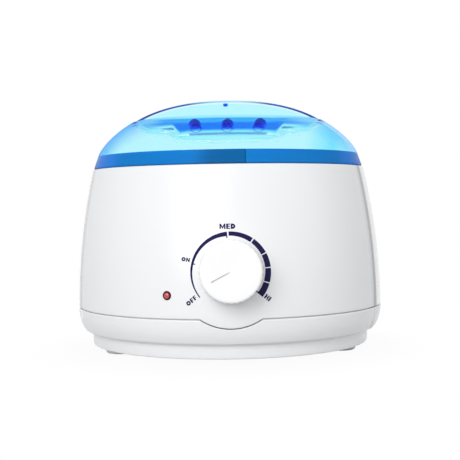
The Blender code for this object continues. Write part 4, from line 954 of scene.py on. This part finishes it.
def white_shell(colour):
    """White plastic of the housing and base. Above the seam its two side panels have a clear gloss, and beside
    each of them run a painted dark line and a band of painted shade, stronger at the right, away from the key
    light."""
    def varying(shade):
        x, y, z = shade.axes()
        right = x.step(-0.001, 0.001)
        off_side = shade.maths("ARCTAN2", abs(y - AXIS_Y), abs(x))
        beyond = off_side - LEFT_PANEL - right * (RIGHT_PANEL - LEFT_PANEL)
        on_wall = z.step(PARTING_Z - 0.0004, PARTING_Z)
        on_wall = on_wall * off_axis(x, y).step(RIM_RADIUS - 0.0022, RIM_RADIUS - 0.0014)
        on_panel = 1.0 - beyond.step(0.0, PANEL_EDGE_ANGLE)
        # painted shade: a dark line and a grey band just outside each side panel's edge, where the crease shades
        # the wall
        line = beyond.between(0.002, 0.008, PANEL_EDGE_ANGLE - 0.002, PANEL_EDGE_ANGLE + 0.008)
        beside = (1.0 - on_panel) * (1.0 - beyond.step(PANEL_EDGE_ANGLE + 0.01, PANEL_EDGE_ANGLE + 0.085))
        fine = shade.noise(900.0, detail=1.0)
        body = fine.mix(scaled(colour, 0.992), colour)
        # the grey band and the dark line are painted shade, laid into the white more strongly at the right
        body = (beside * on_wall * (0.25 + 0.55 * right)).mix(body, scaled(colour, 0.70))
        body = (line * on_wall * (0.35 + 0.20 * right)).mix(body, scaled(colour, 0.40))
        return {"base_color": body, "coat_weight": on_panel * on_wall * 0.8,
                "normal": shade.bump(fine, 0.000003)}
    return new_finish("white_abs", varying, roughness=0.27, coat_roughness=0.03, coat_ior=1.9)


def metal(name, colour, roughness, grain=None):
    """Drawn or spun metal: streaks stretched along the axes with the lesser grain. Without a grain they
    run round the body's axis, by the distance from it and the height."""
    def varying(shade):
        if grain:
            streak = shade.noise(*grain, detail=3.0)
        else:
            x, y, z = shade.axes()
            rings = {0: off_axis(x, y) * SPUN_RINGS, 1: z * SPUN_RINGS}
            spot = shade.made("ShaderNodeCombineXYZ", inputs=rings)
            streak = shade.made("ShaderNodeTexNoise", inputs={"Vector": spot, "Scale": 1.0, "Detail": 3.0})
        colours = streak.mix(scaled(colour, 0.86), colour)
        return {"base_color": shade.noise(90.0).mix(colours, scaled(colour, 0.97)),
                "roughness": roughness - 0.06 + 0.12 * streak, "normal": shade.bump(streak, 0.000006)}
    return new_finish(name, varying, metallic=1.0)


def speckled(name, colour, flake, scale, amount, roughness):
    """Mica or ceramic: grains of a second colour in cells, with a bump that follows them."""
    def varying(shade):
        cell = shade.made("ShaderNodeTexVoronoi", inputs={"Vector": shade.place(scale), "Scale": 1.0})
        near = 1.0 - cell.step(0.25, 0.25 + amount)
        return {"base_color": near.mix(colour, flake), "roughness": roughness + 0.15 * near,
                "normal": shade.bump(near, 0.00002)}
    return new_finish(name, varying)


def woven(name, colour, hollow_shade, pitch, roughness):
    """Woven or braided cloth: two waves across each other, darker where both are low, which is painted shade in
    the weave's hollows.
    """
    def varying(shade):
        x, y, z = shade.axes()
        around = shade.maths("ARCTAN2", y - AXIS_Y, x) * WRAP_RADIUS
        first, second = (shade.maths("SINE", way * (TAU / pitch)) for way in (around + z, around - z))
        height = (first * second) * 0.5 + 0.5
        # painted shade: the low parts of the weave take the darker colour, mixed with some random noise
        return {"base_color": (height * 0.7 + shade.noise(2500.0) * 0.3).mix(hollow_shade, colour),
                "roughness": roughness - 0.1 * height, "normal": shade.bump(height, 0.0001)}
    return new_finish(name, varying)


def clear_dome(tint, deep):
    """Thin clear blue plastic that hardly bends the light. The tint of one wall goes by place: deep on
    the front scoop's sloping lip with a fine line under it, a little in a streak at the right and at the
    left end, and almost none on the floors."""
    def varying(shade):
        x, y, z = shade.axes()
        forward, reach = AXIS_Y - y, off_axis(x, y)
        in_scoop = 1.0 - reach.step(SCOOP_RADIUS - 0.0020, SCOOP_RADIUS - 0.0006)
        beside = forward.step(RIDGE_FOOT + 0.0005, RIDGE_FOOT + 0.0030)
        shelf = abs(x).step(0.0270, 0.0325)
        over_floor = z - FLOOR_Z - shelf * SHELF_RISE
        under_slope = reach - z + (LIP_Z - SCOOP_RADIUS)
        cloud = shade.noise(45.0, 45.0, 130.0)
        middle = 1.0 - abs(x).step(0.030, 0.056)
        sloping = in_scoop * beside * over_floor.step(-0.0004, 0.0022)
        deep_share = sloping * (0.30 + middle * 0.70) * (0.75 + cloud * 0.60)
        flat = in_scoop * (1.0 - over_floor.step(0.0002, 0.0009))
        line = in_scoop * beside * over_floor.between(-0.0020, -0.0016, -0.0006, -0.0002)
        line = line * under_slope.step(0.0010, 0.0016)
        streak = x.between(0.050, 0.061, 0.068, 0.074) * (1.0 - in_scoop)
        plain = (streak * (0.5 + cloud * 0.7)).mix(tint, STREAK_TINT)
        plain = ((-x).step(0.068, 0.075) * (1.0 - in_scoop)).mix(plain, LEFT_END_TINT)
        colours = flat.mix(deep_share.mix(plain, deep), SCOOP_FLOOR_TINT)
        return {"base_color": (line * 0.95).mix(colours, LIP_LINE_TINT), "roughness": 0.012 + 0.02 * cloud,
                "coat_weight": 0.10 + 0.10 * cloud, "normal": shade.bump(shade.noise(70.0), 0.00003)}
    return new_finish("clear_dome", varying, lit_through(tint), **THIN_CLEAR)


def clear_skin(tint):
    """The dome's outer skin: the same plastic, deeper where it is seen along its length, and darkest
    along the ridge's crest away from its middle."""
    def varying(shade):
        x, y, z = shade.axes()
        cloud = shade.noise(60.0, 60.0, 110.0)
        edge = shade.edge(0.5)
        left = 1.0 - x.step(-0.030, 0.030)
        rim = (edge.step(0.50, 0.95) * (0.60 + 0.40 * left)).mix(tint, DOME_EDGE_TINT)
        on_ridge = 1.0 - abs(y - AXIS_Y).step(RIDGE_HALF + 0.0008, RIDGE_HALF + 0.0022)
        on_ridge = on_ridge * z.step(LIP_Z - 0.0012, LIP_Z + 0.0008)
        crest = edge.step(0.55, 0.72) * abs(x).step(0.004, 0.026) * on_ridge
        return {"base_color": crest.mix(rim, CREST_TINT), "roughness": 0.012 + 0.02 * cloud,
                "coat_weight": (0.10 + 0.10 * cloud) * (1.0 - crest), "normal": shade.bump(cloud, 0.00002)}
    return new_finish("clear_skin", varying, lit_through(tint), **THIN_CLEAR)


def band_clear(colour):
    """The lid's thick band: clear plastic clouded with its own blue, darker in the middle of the front
    and the back, with a fine weld line beside it, brighter near its sides and violet at them."""
    def varying(shade):
        x = shade.axes()[0]
        streak = shade.noise(25.0, 25.0, 500.0)
        middle = x.between(-0.022, -0.008, 0.0085, 0.0092)
        weld = x.between(0.0084, 0.0088, 0.0090, 0.0095)
        body = streak.mix(scaled(colour, 0.90), scaled(colour, 1.06))
        body = (middle * 0.60 + weld * 0.80).mix(body, scaled(colour, 0.40))
        body = (abs(x).step(0.060, 0.068) * 0.8).mix(body, BAND_NEAR_SIDE_TINT)
        return {"base_color": abs(x).step(0.0775, 0.0800).mix(body, BAND_SIDE_TINT),
                "roughness": 0.22 + 0.06 * streak, "normal": shade.bump(streak, 0.00002)}
    return new_finish("band_clear", varying, lit_through(colour, 0.7), ior=1.15, transmission_weight=0.25,
                      specular_ior_level=0.1)


def small_clear(name, colour, other, roughness, ior, other_share):
    """Small clear parts: a second colour by a share that varies over them."""
    def varying(shade):
        cloud = shade.noise(300.0)
        return {"base_color": other_share(shade).mix(colour, other), "roughness": roughness + 0.03 * cloud,
                "normal": shade.bump(cloud, 0.00002)}
    return new_finish(name, varying, ior=ior, transmission_weight=1.0)


def tinted_clear(name, colour, edge_colour, roughness, ior):
    """Small clear parts, deeper where they are seen along their walls."""
    return small_clear(name, colour, edge_colour, roughness, ior, lambda shade: shade.edge(0.4))


def vent_clear(middle):
    """The vents' collars: deep blue clear plastic, nearly black above the vent's middle."""
    return small_clear("vent_blue", VENT_TINT, VENT_TOP_TINT, 0.05, 1.01,
                       lambda shade: shade.axes()[2].step(middle - 0.0006, middle + 0.0024))


def ink_finish(colour):
    """Printed ink: a thin satin film, a little uneven in depth of colour and greyer to the right."""
    def varying(shade):
        cloud = shade.noise(900.0, detail=3.0)
        greyer = tuple(channel * 0.75 + 0.012 for channel in colour)
        fade = shade.axes()[0].step(-0.004, 0.018).mix(colour, greyer)
        return {"base_color": cloud.mix(fade, scaled(colour, 1.25)), "roughness": 0.5 + 0.1 * cloud,
                "normal": shade.bump(cloud, 0.000006)}
    return new_finish("dial_ink", varying, specular_ior_level=0.15)


def red_finish(colour):
    """The lamp's lens: red, darker towards its edge, with a fine grain under its skin."""
    def varying(shade):
        cloud = shade.noise(1200.0)
        return {"base_color": shade.edge(0.35).mix(colour, scaled(colour, 0.35)),
                "roughness": 0.16 + 0.1 * cloud, "normal": shade.bump(cloud, 0.00001)}
    return new_finish("lamp_red", varying, ior=1.49, coat_weight=0.6, coat_roughness=0.08)


SLOT_FINISHES = {
    "white_plastic": lambda: white_shell(bpy.context.scene.wax_shell.colour),
    "steel": lambda: metal("steel_bright", (0.62, 0.62, 0.61), 0.30, (900.0, 60.0, 60.0)),
    "brass": lambda: metal("brass_turned", (0.80, 0.60, 0.27), 0.28, (60.0, 60.0, 1500.0)),
    "copper": lambda: metal("copper_drawn", (0.85, 0.42, 0.27), 0.32, (200.0, 200.0, 200.0)),
    "aluminium": lambda: metal("aluminium_spun", (0.80, 0.81, 0.82), 0.33),
    "rubber": lambda: moulded("rubber_pale", bpy.context.scene.wax_shell.foot_colour, 0.62, 2500.0, 0.00003),
    "silicone": lambda: moulded("silicone_orange", (0.62, 0.18, 0.08), 0.48, depth=0.00002, mottle=0.1),
    "mica": lambda: speckled("mica_band", (0.48, 0.40, 0.26), (0.72, 0.64, 0.44), 500.0, 0.35, 0.42),
    "ceramic": lambda: speckled("steatite", (0.78, 0.75, 0.68), (0.62, 0.58, 0.50), 1400.0, 0.2, 0.55),
    "fibre": lambda: woven("glass_cloth", (0.82, 0.80, 0.74), (0.45, 0.43, 0.38), 0.0024, 0.85),
    "lead_sheath": lambda: woven("braided_sleeve", (0.78, 0.76, 0.70), (0.42, 0.38, 0.34), 0.0012, 0.7),
    # near-black: painted shade for the gap round the lamp's lens
    "dark_plastic": lambda: moulded("lamp_shadow_ring", (0.040, 0.004, 0.006), 0.45, mottle=0.2,
                                    specular_ior_level=0.15),
    "black_plastic": lambda: moulded("black_nylon", (0.022, 0.022, 0.024), 0.38, mottle=0.15),
    "lamp_glass": lambda: tinted_clear("neon_glass", (0.95, 0.80, 0.72), (0.75, 0.45, 0.36), 0.04, 1.5),
}


def finished(item, body, slot, *nodes, finish=None):
    """Gives a piece its finish, or its slot's own, and its body, and hides the frame's nodes that it
    stands for."""
    item.data.materials.clear()
    item.data.materials.append(finish or SLOT_FINISHES[slot]())
    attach(item, body)
    if nodes:
        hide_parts(*nodes)
    return item


# Operators, one for each piece or group of like pieces

class Maker:
    """What all the operators share: they can be undone, and they report what they made."""

    bl_options = {"REGISTER", "UNDO"}

    def execute(self, context):
        for item in self.make(context.scene):
            self.report({"INFO"}, f"made {item.name}")
        return {"FINISHED"}


def rods(name, radius, low, high, places, columns=24):
    """Equal closed rods, one at each matrix."""
    profile = np.array([(0.0, low), (radius, low), (radius, high), (0.0, high)])
    return piece(name, [(placed(turned(profile, columns), place), True, False) for place in places])


def spots(radius, angles):
    """Upright matrices at angles round the body's axis, in degrees."""
    return [Matrix.Translation(BODY_AXIS + Vector((radius * math.cos(math.radians(angle)),
                                                   radius * math.sin(math.radians(angle)), 0.0)))
            for angle in angles]


class WAX_OT_housing(Maker, bpy.types.Operator):
    """Upper housing: wall, side panels, tongue under the dial, rim, ledge, screw posts and bosses"""

    bl_idname = "wax.housing"
    bl_label = "Upper Housing"

    def make(self, scene):
        shell = scene.wax_shell
        grid = housing_grid(shell.edge_radius, shell.rim_rounding, shell.crease_depth)
        item = piece("housing_shell", [(grid, True, True)])
        in_ledge = RIM_Z - RIM_DEPTH - LEDGE_THICKNESS / 2
        columns, brackets = spots(*COLUMN_SPOTS), spots(*BRACKET_SPOTS)
        dial = upright_on(DIAL_CENTRE, DIAL_OUT)
        beside = [dial @ Matrix.Translation((side * BOSS_SPACING, 0.0, 0.0)) for side in (-1, 1)]
        carved(item, rods("posts", POST_RADIUS, POST_JOINT_Z, in_ledge, columns), "UNION")
        carved(item, rods("short_posts", SHORT_POST_RADIUS, SHORT_POST_Z, in_ledge, brackets), "UNION")
        carved(item, rods("bosses", BOSS_RADIUS, -BOSS_DEPTH, -BOSS_TOP, beside), "UNION")
        for name, radius, low, high, places, sides in (
                ("post_holes", SCREW_HOLE_RADIUS, POST_JOINT_Z - OVERRUN, POST_JOINT_Z + POST_HOLE_DEPTH,
                 columns, 24),
                ("short_holes", SCREW_HOLE_RADIUS, SHORT_HOLE_Z, SHORT_HOLE_TOP_Z, brackets, 24),
                ("boss_holes", SCREW_HOLE_RADIUS, -BOSS_DEPTH - OVERRUN, -BOSS_HOLE_TOP, beside, 24),
                ("shaft_hole", SHAFT_HOLE_RADIUS, -SHAFT_HOLE_DEPTH, OVERRUN, [dial], 48),
                ("lamp_hole", LAMP_HOLE_RADIUS, -LAMP_HOLE_DEPTH, OVERRUN, [lamp_place()], 48)):
            carved(item, rods(name, radius, low, high, places, sides))
        return [finished(item, "housing", "white_plastic", "upper_housing")]


class WAX_OT_base(Maker, bpy.types.Operator):
    """Base: tray, shoulder, foot ring, lip, screw columns and the cord gland's mouth"""

    bl_idname = "wax.base"
    bl_label = "Base"

    def make(self, scene):
        shell = scene.wax_shell
        item = piece("base_shell", [(base_grid(shell.edge_radius, shell.crease_depth), True, False)])
        low, places = RING_Z + FLOOR_RECESS, spots(*COLUMN_SPOTS)
        carved(item, rods("columns", COLUMN_RADIUS, low + COLUMN_FOOT, POST_JOINT_Z - GAP, places), "UNION")
        carved(item, rods("pockets", POCKET_RADIUS, low - OVERRUN, low + POCKET_DEPTH, places))
        carved(item, rods("bores", SCREW_HOLE_RADIUS, low, POST_JOINT_Z + OVERRUN, places))
        mouth = gland_place(AXIS_Y)
        carved(item, rods("mouth", MOUTH_RADIUS, MOUTH_START, MOUTH_END, [mouth], 48))
        return [finished(item, "housing", "white_plastic", "base")]


class WAX_OT_feet(Maker, bpy.types.Operator):
    """Rubber feet: round pads with a soft edge and a dimple"""

    bl_idname = "wax.feet"
    bl_label = "Feet"

    def make(self, scene):
        made = []
        for end in ("front_left", "front_right", "rear_left", "rear_right"):
            low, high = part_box(f"foot_{end}")
            radius, middle = (high.x - low.x) / 2, (low + high) / 2
            corners = [(0.0, DIMPLE_DEPTH), (radius * DIMPLE_FLAT, DIMPLE_DEPTH), (radius * DIMPLE_EDGE, 0.0),
                       (radius, 0.0), (radius, high.z), (0.0, high.z)]
            section = rounded(corners, FOOT_ROUNDINGS)
            grid = placed(turned(section, 72), Matrix.Translation((middle.x, middle.y, 0.0)))
            item = piece(f"foot_pad_{end}", [(grid, True, False)])
            made.append(finished(item, "housing", "rubber", f"foot_{end}"))
        return made


def gland_place(y):
    """The cord gland's axis: a matrix at a depth whose Z points to the rear."""
    return upright_on(Vector((0.0, y, (GLAND_LOW.z + GLAND_HIGH.z) / 2)), Vector((0.0, 1.0, 0.0)))


class WAX_OT_gland(Maker, bpy.types.Operator):
    """Cord gland: a flanged bush in the base's rear wall"""

    bl_idname = "wax.gland"
    bl_label = "Cord Gland"

    def make(self, scene):
        length, flange = GLAND_HIGH.y - GLAND_LOW.y, (GLAND_HIGH.x - GLAND_LOW.x) / 2
        neck = length - GLAND_FLANGE
        corners = [(GLAND_BORE, 0.0), (GLAND_NECK, 0.0), (GLAND_NECK, neck), (flange, neck), (flange, length),
                   (GLAND_BORE, length)]
        section = closed_section(corners, GLAND_ROUNDINGS, SMALL_STEP)
        item = piece("gland_bush", [(placed(turned(section, 72), gland_place(GLAND_LOW.y)), True, True)])
        return [finished(item, "housing", "black_plastic", "cord_gland")]


class WAX_OT_lid(Maker, bpy.types.Operator):
    """Clear lid: dome, ridge, finger scoops, band, lip, vents with their collars and the gate mark"""

    bl_idname = "wax.lid"
    bl_label = "Lid"

    def make(self, scene):
        lid = scene.wax_lid
        shell = piece("lid_shell", lid_patches(lid.rounding), sharp_angle=60.0)
        vents = vent_places()
        carved(shell, rods("vents", VENT_RADIUS, -LID_WALL - OVERRUN, LID_WALL + OVERRUN, vents, 48))
        rings = [placed(collar_grid(lid.collar_length, place.col[1].z), place) for place in vents]
        collars = piece("vent_collars", [(ring, True, True) for ring in rings])
        mark = rounded([(0.0, 0.0), (GATE_RADIUS, 0.0), (GATE_RADIUS, -GATE_DEPTH), (0.0, -GATE_DEPTH)],
                       [0.0, 0.0, GATE_ROUNDING, 0.0])
        top = inner_dome_height(math.hypot(GATE_LEFT, GATE_FORWARD)) + GATE_LIFT
        at_gate = Matrix.Translation((-GATE_LEFT, AXIS_Y - GATE_FORWARD, top))
        gate = piece("lid_gate_mark", [(placed(turned(mark, 24), at_gate), True, False)])
        finished(shell, "lid", "blue_clear", "lid", finish=clear_dome(lid.tint, lid.deep_tint))
        shell.data.materials.append(band_clear(lid.band_tint))
        shell.data.materials.append(clear_skin(lid.tint))
        middles = face_middles(shell) - np.array(BODY_AXIS)
        reach = np.minimum(np.hypot(middles[:, 0], middles[:, 1]), BAND_RADIUS - 2 * SLOPE_STEP)
        fall = (dome_height(reach - SLOPE_STEP) - dome_height(reach + SLOPE_STEP)) / (2 * SLOPE_STEP)
        under = (dome_height(reach) - middles[:, 2]) / np.hypot(1.0, fall)
        in_band = middles[:, 2] < BAND_Z + SLOPE_STEP
        slots = np.where(in_band, 1, np.where(under < SKIN_DEPTH, 2, 0))
        shell.data.polygons.foreach_set("material_index", slots)
        gate_blue = tinted_clear("gate_blue", GATE_TINT, GATE_EDGE_TINT, 0.05, 1.01)
        return [shell, finished(collars, "lid", "blue_clear", finish=vent_clear(vents[0].translation.z)),
                finished(gate, "lid", "blue_clear", finish=gate_blue)]


class WAX_OT_knob(Maker, bpy.types.Operator):
    """Knob: notched skirt, rounded edge, engraved pointer and hub"""

    bl_idname = "wax.knob"
    bl_label = "Knob"

    def make(self, scene):
        dial = scene.wax_dial
        place = upright_on(DIAL_CENTRE, DIAL_OUT)
        item = piece("knob_cap", [(placed(knob_grid(dial.notches, dial.notch_depth), place), True, False)])
        section = [(0.0, -POINTER_DEPTH), (POINTER_FLAT, -POINTER_DEPTH), (POINTER_HALF, -POINTER_WALL),
                   (POINTER_HALF, OVERRUN), (0.0, OVERRUN)]
        groove = turned(np.array(section), 24)
        half = (POINTER_LENGTH - 2 * POINTER_HALF) / 2
        groove[..., 0] += np.where(groove[..., 0] >= 0.0, half, -half)
        at_pointer = place @ Matrix.Rotation(math.radians(POINTER_ANGLE), 4, "Z")
        at_pointer @= Matrix.Translation((POINTER_START + POINTER_LENGTH / 2, 0.0, KNOB_FACE))
        carved(item, piece("pointer", [(placed(groove, at_pointer), True, False)]))
        white = moulded("knob_white", dial.knob_colour, 0.30, depth=0.000004, mottle=0.01, spread=0.03)
        finished(item, "knob", "white_knob", "knob", finish=white)
        # painted shade: the pointer groove's floor and walls get a greyer white, standing for the shade inside the
        # groove
        item.data.materials.append(moulded("pointer_groove_shade", scaled(dial.knob_colour, 0.74), 0.5))
        spot = np.abs(placed(face_middles(item), at_pointer.inverted()))
        within = (spot < (POINTER_LENGTH / 2, POINTER_HALF + 0.00001, POINTER_DEPTH + 0.00005)).all(axis=1)
        item.data.polygons.foreach_set("material_index", (within & (spot[:, 2] > 0.00006)).astype(np.int32))
        return [item]


class WAX_OT_lamp(Maker, bpy.types.Operator):
    """Indicator lamp: a domed red lens in a ring whose near-black colour is painted shade for the gap round the
    lens
    """

    bl_idname = "wax.lamp"
    bl_label = "Indicator Lamp"

    def make(self, scene):
        place, proud = lamp_place(), LAMP_RING_PROUD
        inner, outer = LAMP_RING_RADII
        corners = [(inner, -LAMP_RING_DEPTH), (outer, -LAMP_RING_DEPTH), (outer, proud), (inner, proud)]
        ring = closed_section(corners, LAMP_RING_ROUNDINGS, SMALL_STEP)
        swing = np.linspace(0.0, math.pi / 2, 12)
        dome = np.stack([LENS_RADIUS * np.sin(swing), proud + LENS_DOME * np.cos(swing)], axis=-1)
        back = [(LENS_RADIUS, -LENS_BACK / 2), (LENS_RADIUS, -LENS_BACK), (0.0, -LENS_BACK)]
        lens = np.concatenate([dome, back])
        # a real ring, coloured near-black as painted shade for the gap round the lens
        bezel = piece("lamp_shadow_ring", [(placed(turned(ring, 64), place), True, True)])
        red = piece("lamp_dome", [(placed(turned(lens, 64), place), True, False)])
        glass = red_finish(scene.wax_dial.lamp_colour)
        return [finished(bezel, "housing", "dark_plastic", "lamp_bezel"),
                finished(red, "housing", "red_lens", "lamp_lens", finish=glass)]


def printed(name, patches, ink):
    """A printed piece on the housing wall."""
    item = piece(name, patches)
    item.data.materials.append(ink_finish(ink))
    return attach(item, "housing")


class WAX_OT_scale(Maker, bpy.types.Operator):
    """Printed scale: a thin arc that grows from off to medium, thick bars up to high, and ticks"""

    bl_idname = "wax.scale"
    bl_label = "Dial Scale"

    def make(self, scene):
        outer = scene.wax_dial.scale_radius

        def thin(angle):
            share = np.clip((THIN_ARC[0] - angle) / THIN_SPAN, 0.0, 1.0)
            return outer - THIN_INSET - THIN_GROWTH * share ** THIN_POWER

        def thick(angle):
            return outer - THICK_INSET - THICK_GROWTH * np.clip((THICK_START - angle) / THICK_SPAN, 0.0, 1.0)

        patches = arc_patch(thin, outer, *THIN_ARC)
        for start, end in THICK_BARS:
            patches += arc_patch(thick, outer, start, end)
        for angle, inwards in TICKS:
            patches += arc_patch(outer - inwards, outer - THIN_INSET, angle - TICK_HALF, angle + TICK_HALF)
        patches += arc_patch(*(outer - inset for inset in END_MARK_INSETS), *END_MARK)
        return [printed("dial_scale", patches, scene.wax_dial.ink)]


class WAX_OT_words(Maker, bpy.types.Operator):
    """Printed words of the dial: off, on, medium and high, laid on the wall"""

    bl_idname = "wax.words"
    bl_label = "Dial Words"

    def make(self, scene):
        made = []
        for text, left, up, lean, height in DIAL_WORDS:
            patches, widths = [], [LETTERS[letter][0] for letter in text]
            start = -(sum(widths) + LETTER_GAP * (len(text) - 1)) / 2
            turn = math.radians(lean)
            for letter, width in zip(text, widths):
                for x, y in LETTERS[letter][1]:
                    across, above = (x + start) * height, (y - 0.5) * height
                    patches += print_patch(across * math.cos(turn) - above * math.sin(turn) - left,
                                           across * math.sin(turn) + above * math.cos(turn) + up)
                start += width + LETTER_GAP
            made.append(printed(f"dial_word_{text.lower()}", patches, scene.wax_dial.ink))
        return made


class WAX_OT_pot(Maker, bpy.types.Operator):
    """Lift-out pot with a rolled mouth"""

    bl_idname = "wax.pot"
    bl_label = "Pot"

    def make(self, scene):
        grid = vessel_grid(POT_RADIUS, POT_WALL, POT_CORNER, POT_LOW.z, POT_HIGH.z, POT_HIGH.x)
        return [finished(piece("pot_shell", [(grid, True, False)]), "pot", "aluminium", "inner_pot")]


class WAX_OT_bail(Maker, bpy.types.Operator):
    """Bail: a round wire bent in a half hoop, hooked through the ears"""

    bl_idname = "wax.bail"
    bl_label = "Bail"

    def make(self, scene):
        grid = tube_along(resampled(bail_route(), WIRE_STEP), WIRE_RADIUS, 24)
        return [finished(piece("bail_wire", [(grid, True, False)]), "bail", "steel", "bail_handle")]


class WAX_OT_cup(Maker, bpy.types.Operator):
    """Heating cup that the pot stands in"""

    bl_idname = "wax.cup"
    bl_label = "Heating Cup"

    def make(self, scene):
        grid = vessel_grid(CUP_RADIUS, CUP_WALL, CUP_CORNER, CUP_LOW.z, CUP_HIGH.z, CUP_HIGH.x)
        return [finished(piece("cup_shell", [(grid, True, False)]), "housing", "aluminium", "heater_cup")]


class WAX_OT_fittings(Maker, bpy.types.Operator):
    """Finishes for the frame's own parts that show as they are"""

    bl_idname = "wax.fittings"
    bl_label = "Fittings"

    def make(self, scene):
        slots = {part["node"]: part["material_slot"] for part in frame["record"]["subparts"]}
        shown = {name: item for name, item in frame["nodes"].items() if not item.hide_render}
        for name, item in shown.items():
            item.data.materials.clear()
            item.data.materials.append(SLOT_FINISHES[slots[name]]())
        return shown.values()


# Floor, light and camera

FLOOR_RADII = (0.0, 0.05, 0.2, 0.6, 4.0)
FLOOR_SHADE_RADII, FLOOR_SHADE = (0.085, 0.130), 0.045
LEFT_DIMMING, LEFT_REACH = 0.46, (0.15, 0.90)
KEY_PLACE, KEY_SIZE = (-0.58, -1.35, 0.65), 0.9
FILL_PLACE, FILL_SIZE = (1.2, -0.6, 0.5), 0.8
LIGHT_TARGET, CAMERA_TARGET = (0.0, AXIS_Y, 0.07), (0.0007, AXIS_Y, 0.0705)
CAMERA_LEFT, CAMERA_ROLL = 0.0045, -0.82
CLIP_START = 0.01
LIGHT_BOUNCES = 32


def aimed(item, place, target, roll=0.0):
    """Puts a light or camera at a place, looking at a target, rolled by an angle in degrees."""
    place, target = Vector(place), Vector(target)
    turn = (target - place).to_track_quat("-Z", "Y").to_matrix().to_4x4()
    item.matrix_world = Matrix.Translation(place) @ turn @ Matrix.Rotation(math.radians(roll), 4, "Z")
    bpy.context.scene.collection.objects.link(item)
    return item


def pale_floor(shade, plain):
    """The floor as the lights leave it for other rays; to the eye it is plain white, but for a little
    shade close to the base."""
    x, y = shade.axes()[:2]
    near = 1.0 - ((x * x + y * y) ** 0.5).step(*FLOOR_SHADE_RADII)
    glow = shade.made("ShaderNodeEmission", inputs={"Color": (1.0, 1.0, 1.0, 1.0), "Strength": 1.0})
    seen = (1.0 - near * FLOOR_SHADE).mix_shader(plain, glow)
    return shade.rays("Camera", "Glossy", "Transmission").mix_shader(plain, seen)


class WAX_OT_stage(Maker, bpy.types.Operator):
    """Pale floor, soft studio light and the camera"""

    bl_idname = "wax.stage"
    bl_label = "Stage"

    def make(self, scene):
        stage = scene.wax_stage
        disc = turned(np.array([(radius, 0.0) for radius in FLOOR_RADII]), 96)
        floor = piece("floor", [(disc, True, False)])
        if floor.data.polygons[0].normal.z < 0.0:
            floor.data.flip_normals()
        floor.data.materials.append(
            new_finish("floor_white", surface=pale_floor, base_color=(0.52, 0.52, 0.525), roughness=0.9))

        world = bpy.data.worlds.new("studio")
        scene.world = world
        world.use_nodes = True
        shade, back = Shade(world.node_tree), world.node_tree.nodes["Background"]
        back.inputs["Color"].default_value = (1.0, 1.0, 1.0, 1.0)
        seen = shade.rays("Camera", "Glossy", "Transmission")
        ways = shade.made("ShaderNodeSeparateXYZ", inputs={0: shade.made("ShaderNodeTexCoord")})
        around = stage.ambient * (1.0 - LEFT_DIMMING * (-ways).step(*LEFT_REACH))
        world.node_tree.links.new((around + seen * (1.0 - around)).socket, back.inputs["Strength"])

        for name, power, place, size in (("key", stage.key_power, KEY_PLACE, KEY_SIZE),
                                         ("fill", stage.fill_power, FILL_PLACE, FILL_SIZE)):
            light = bpy.data.lights.new(name, "AREA")
            light.shape, light.size, light.energy = "SQUARE", size, power
            aimed(bpy.data.objects.new(name, light), place, LIGHT_TARGET)

        camera = bpy.data.cameras.new("camera")
        camera.lens, camera.clip_start = stage.focal_length, CLIP_START
        place = (-CAMERA_LEFT, AXIS_Y - stage.camera_distance, stage.camera_height)
        scene.camera = aimed(bpy.data.objects.new("camera", camera), place, CAMERA_TARGET, CAMERA_ROLL)
        scene.view_settings.view_transform = "Standard"
        scene.cycles.max_bounces = LIGHT_BOUNCES
        scene.cycles.transmission_bounces = LIGHT_BOUNCES
        scene.cycles.transparent_max_bounces = LIGHT_BOUNCES
        return [floor, scene.camera]


# Panel and start

MAKERS = (WAX_OT_housing, WAX_OT_base, WAX_OT_feet, WAX_OT_gland, WAX_OT_lid, WAX_OT_knob, WAX_OT_lamp,
          WAX_OT_scale, WAX_OT_words, WAX_OT_pot, WAX_OT_bail, WAX_OT_cup, WAX_OT_fittings, WAX_OT_stage)


class WAX_PT_panel(bpy.types.Panel):
    """Sizes and colours of the heater, and a button for each piece"""

    bl_label = "Wax Heater"
    bl_idname = "WAX_PT_panel"
    bl_space_type = "VIEW_3D"
    bl_region_type = "UI"
    bl_category = "Wax Heater"

    def draw(self, context):
        for group_name, group in SETTINGS.items():
            box = self.layout.box()
            box.label(text=group.__doc__)
            for name in group.__annotations__:
                box.prop(getattr(context.scene, group_name), name)
        for maker in MAKERS:
            self.layout.operator(maker.bl_idname)


SETTINGS = {"wax_shell": ShellSettings, "wax_lid": LidSettings, "wax_dial": DialSettings,
            "wax_stage": StageSettings}


def register():
    for item in (*SETTINGS.values(), *MAKERS, WAX_PT_panel):
        bpy.utils.register_class(item)
    for name, group in SETTINGS.items():
        setattr(bpy.types.Scene, name, PointerProperty(type=group))


def unregister():
    for name in SETTINGS:
        delattr(bpy.types.Scene, name)
    for item in (WAX_PT_panel, *reversed(MAKERS), *reversed(SETTINGS.values())):
        bpy.utils.unregister_class(item)


def main():
    """Registers the classes and makes every piece in order."""
    register()
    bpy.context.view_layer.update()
    for maker in MAKERS:
        group, action = maker.bl_idname.split(".")
        getattr(getattr(bpy.ops, group), action)()
    bpy.context.view_layer.update()


if __name__ == "__main__":
    main()
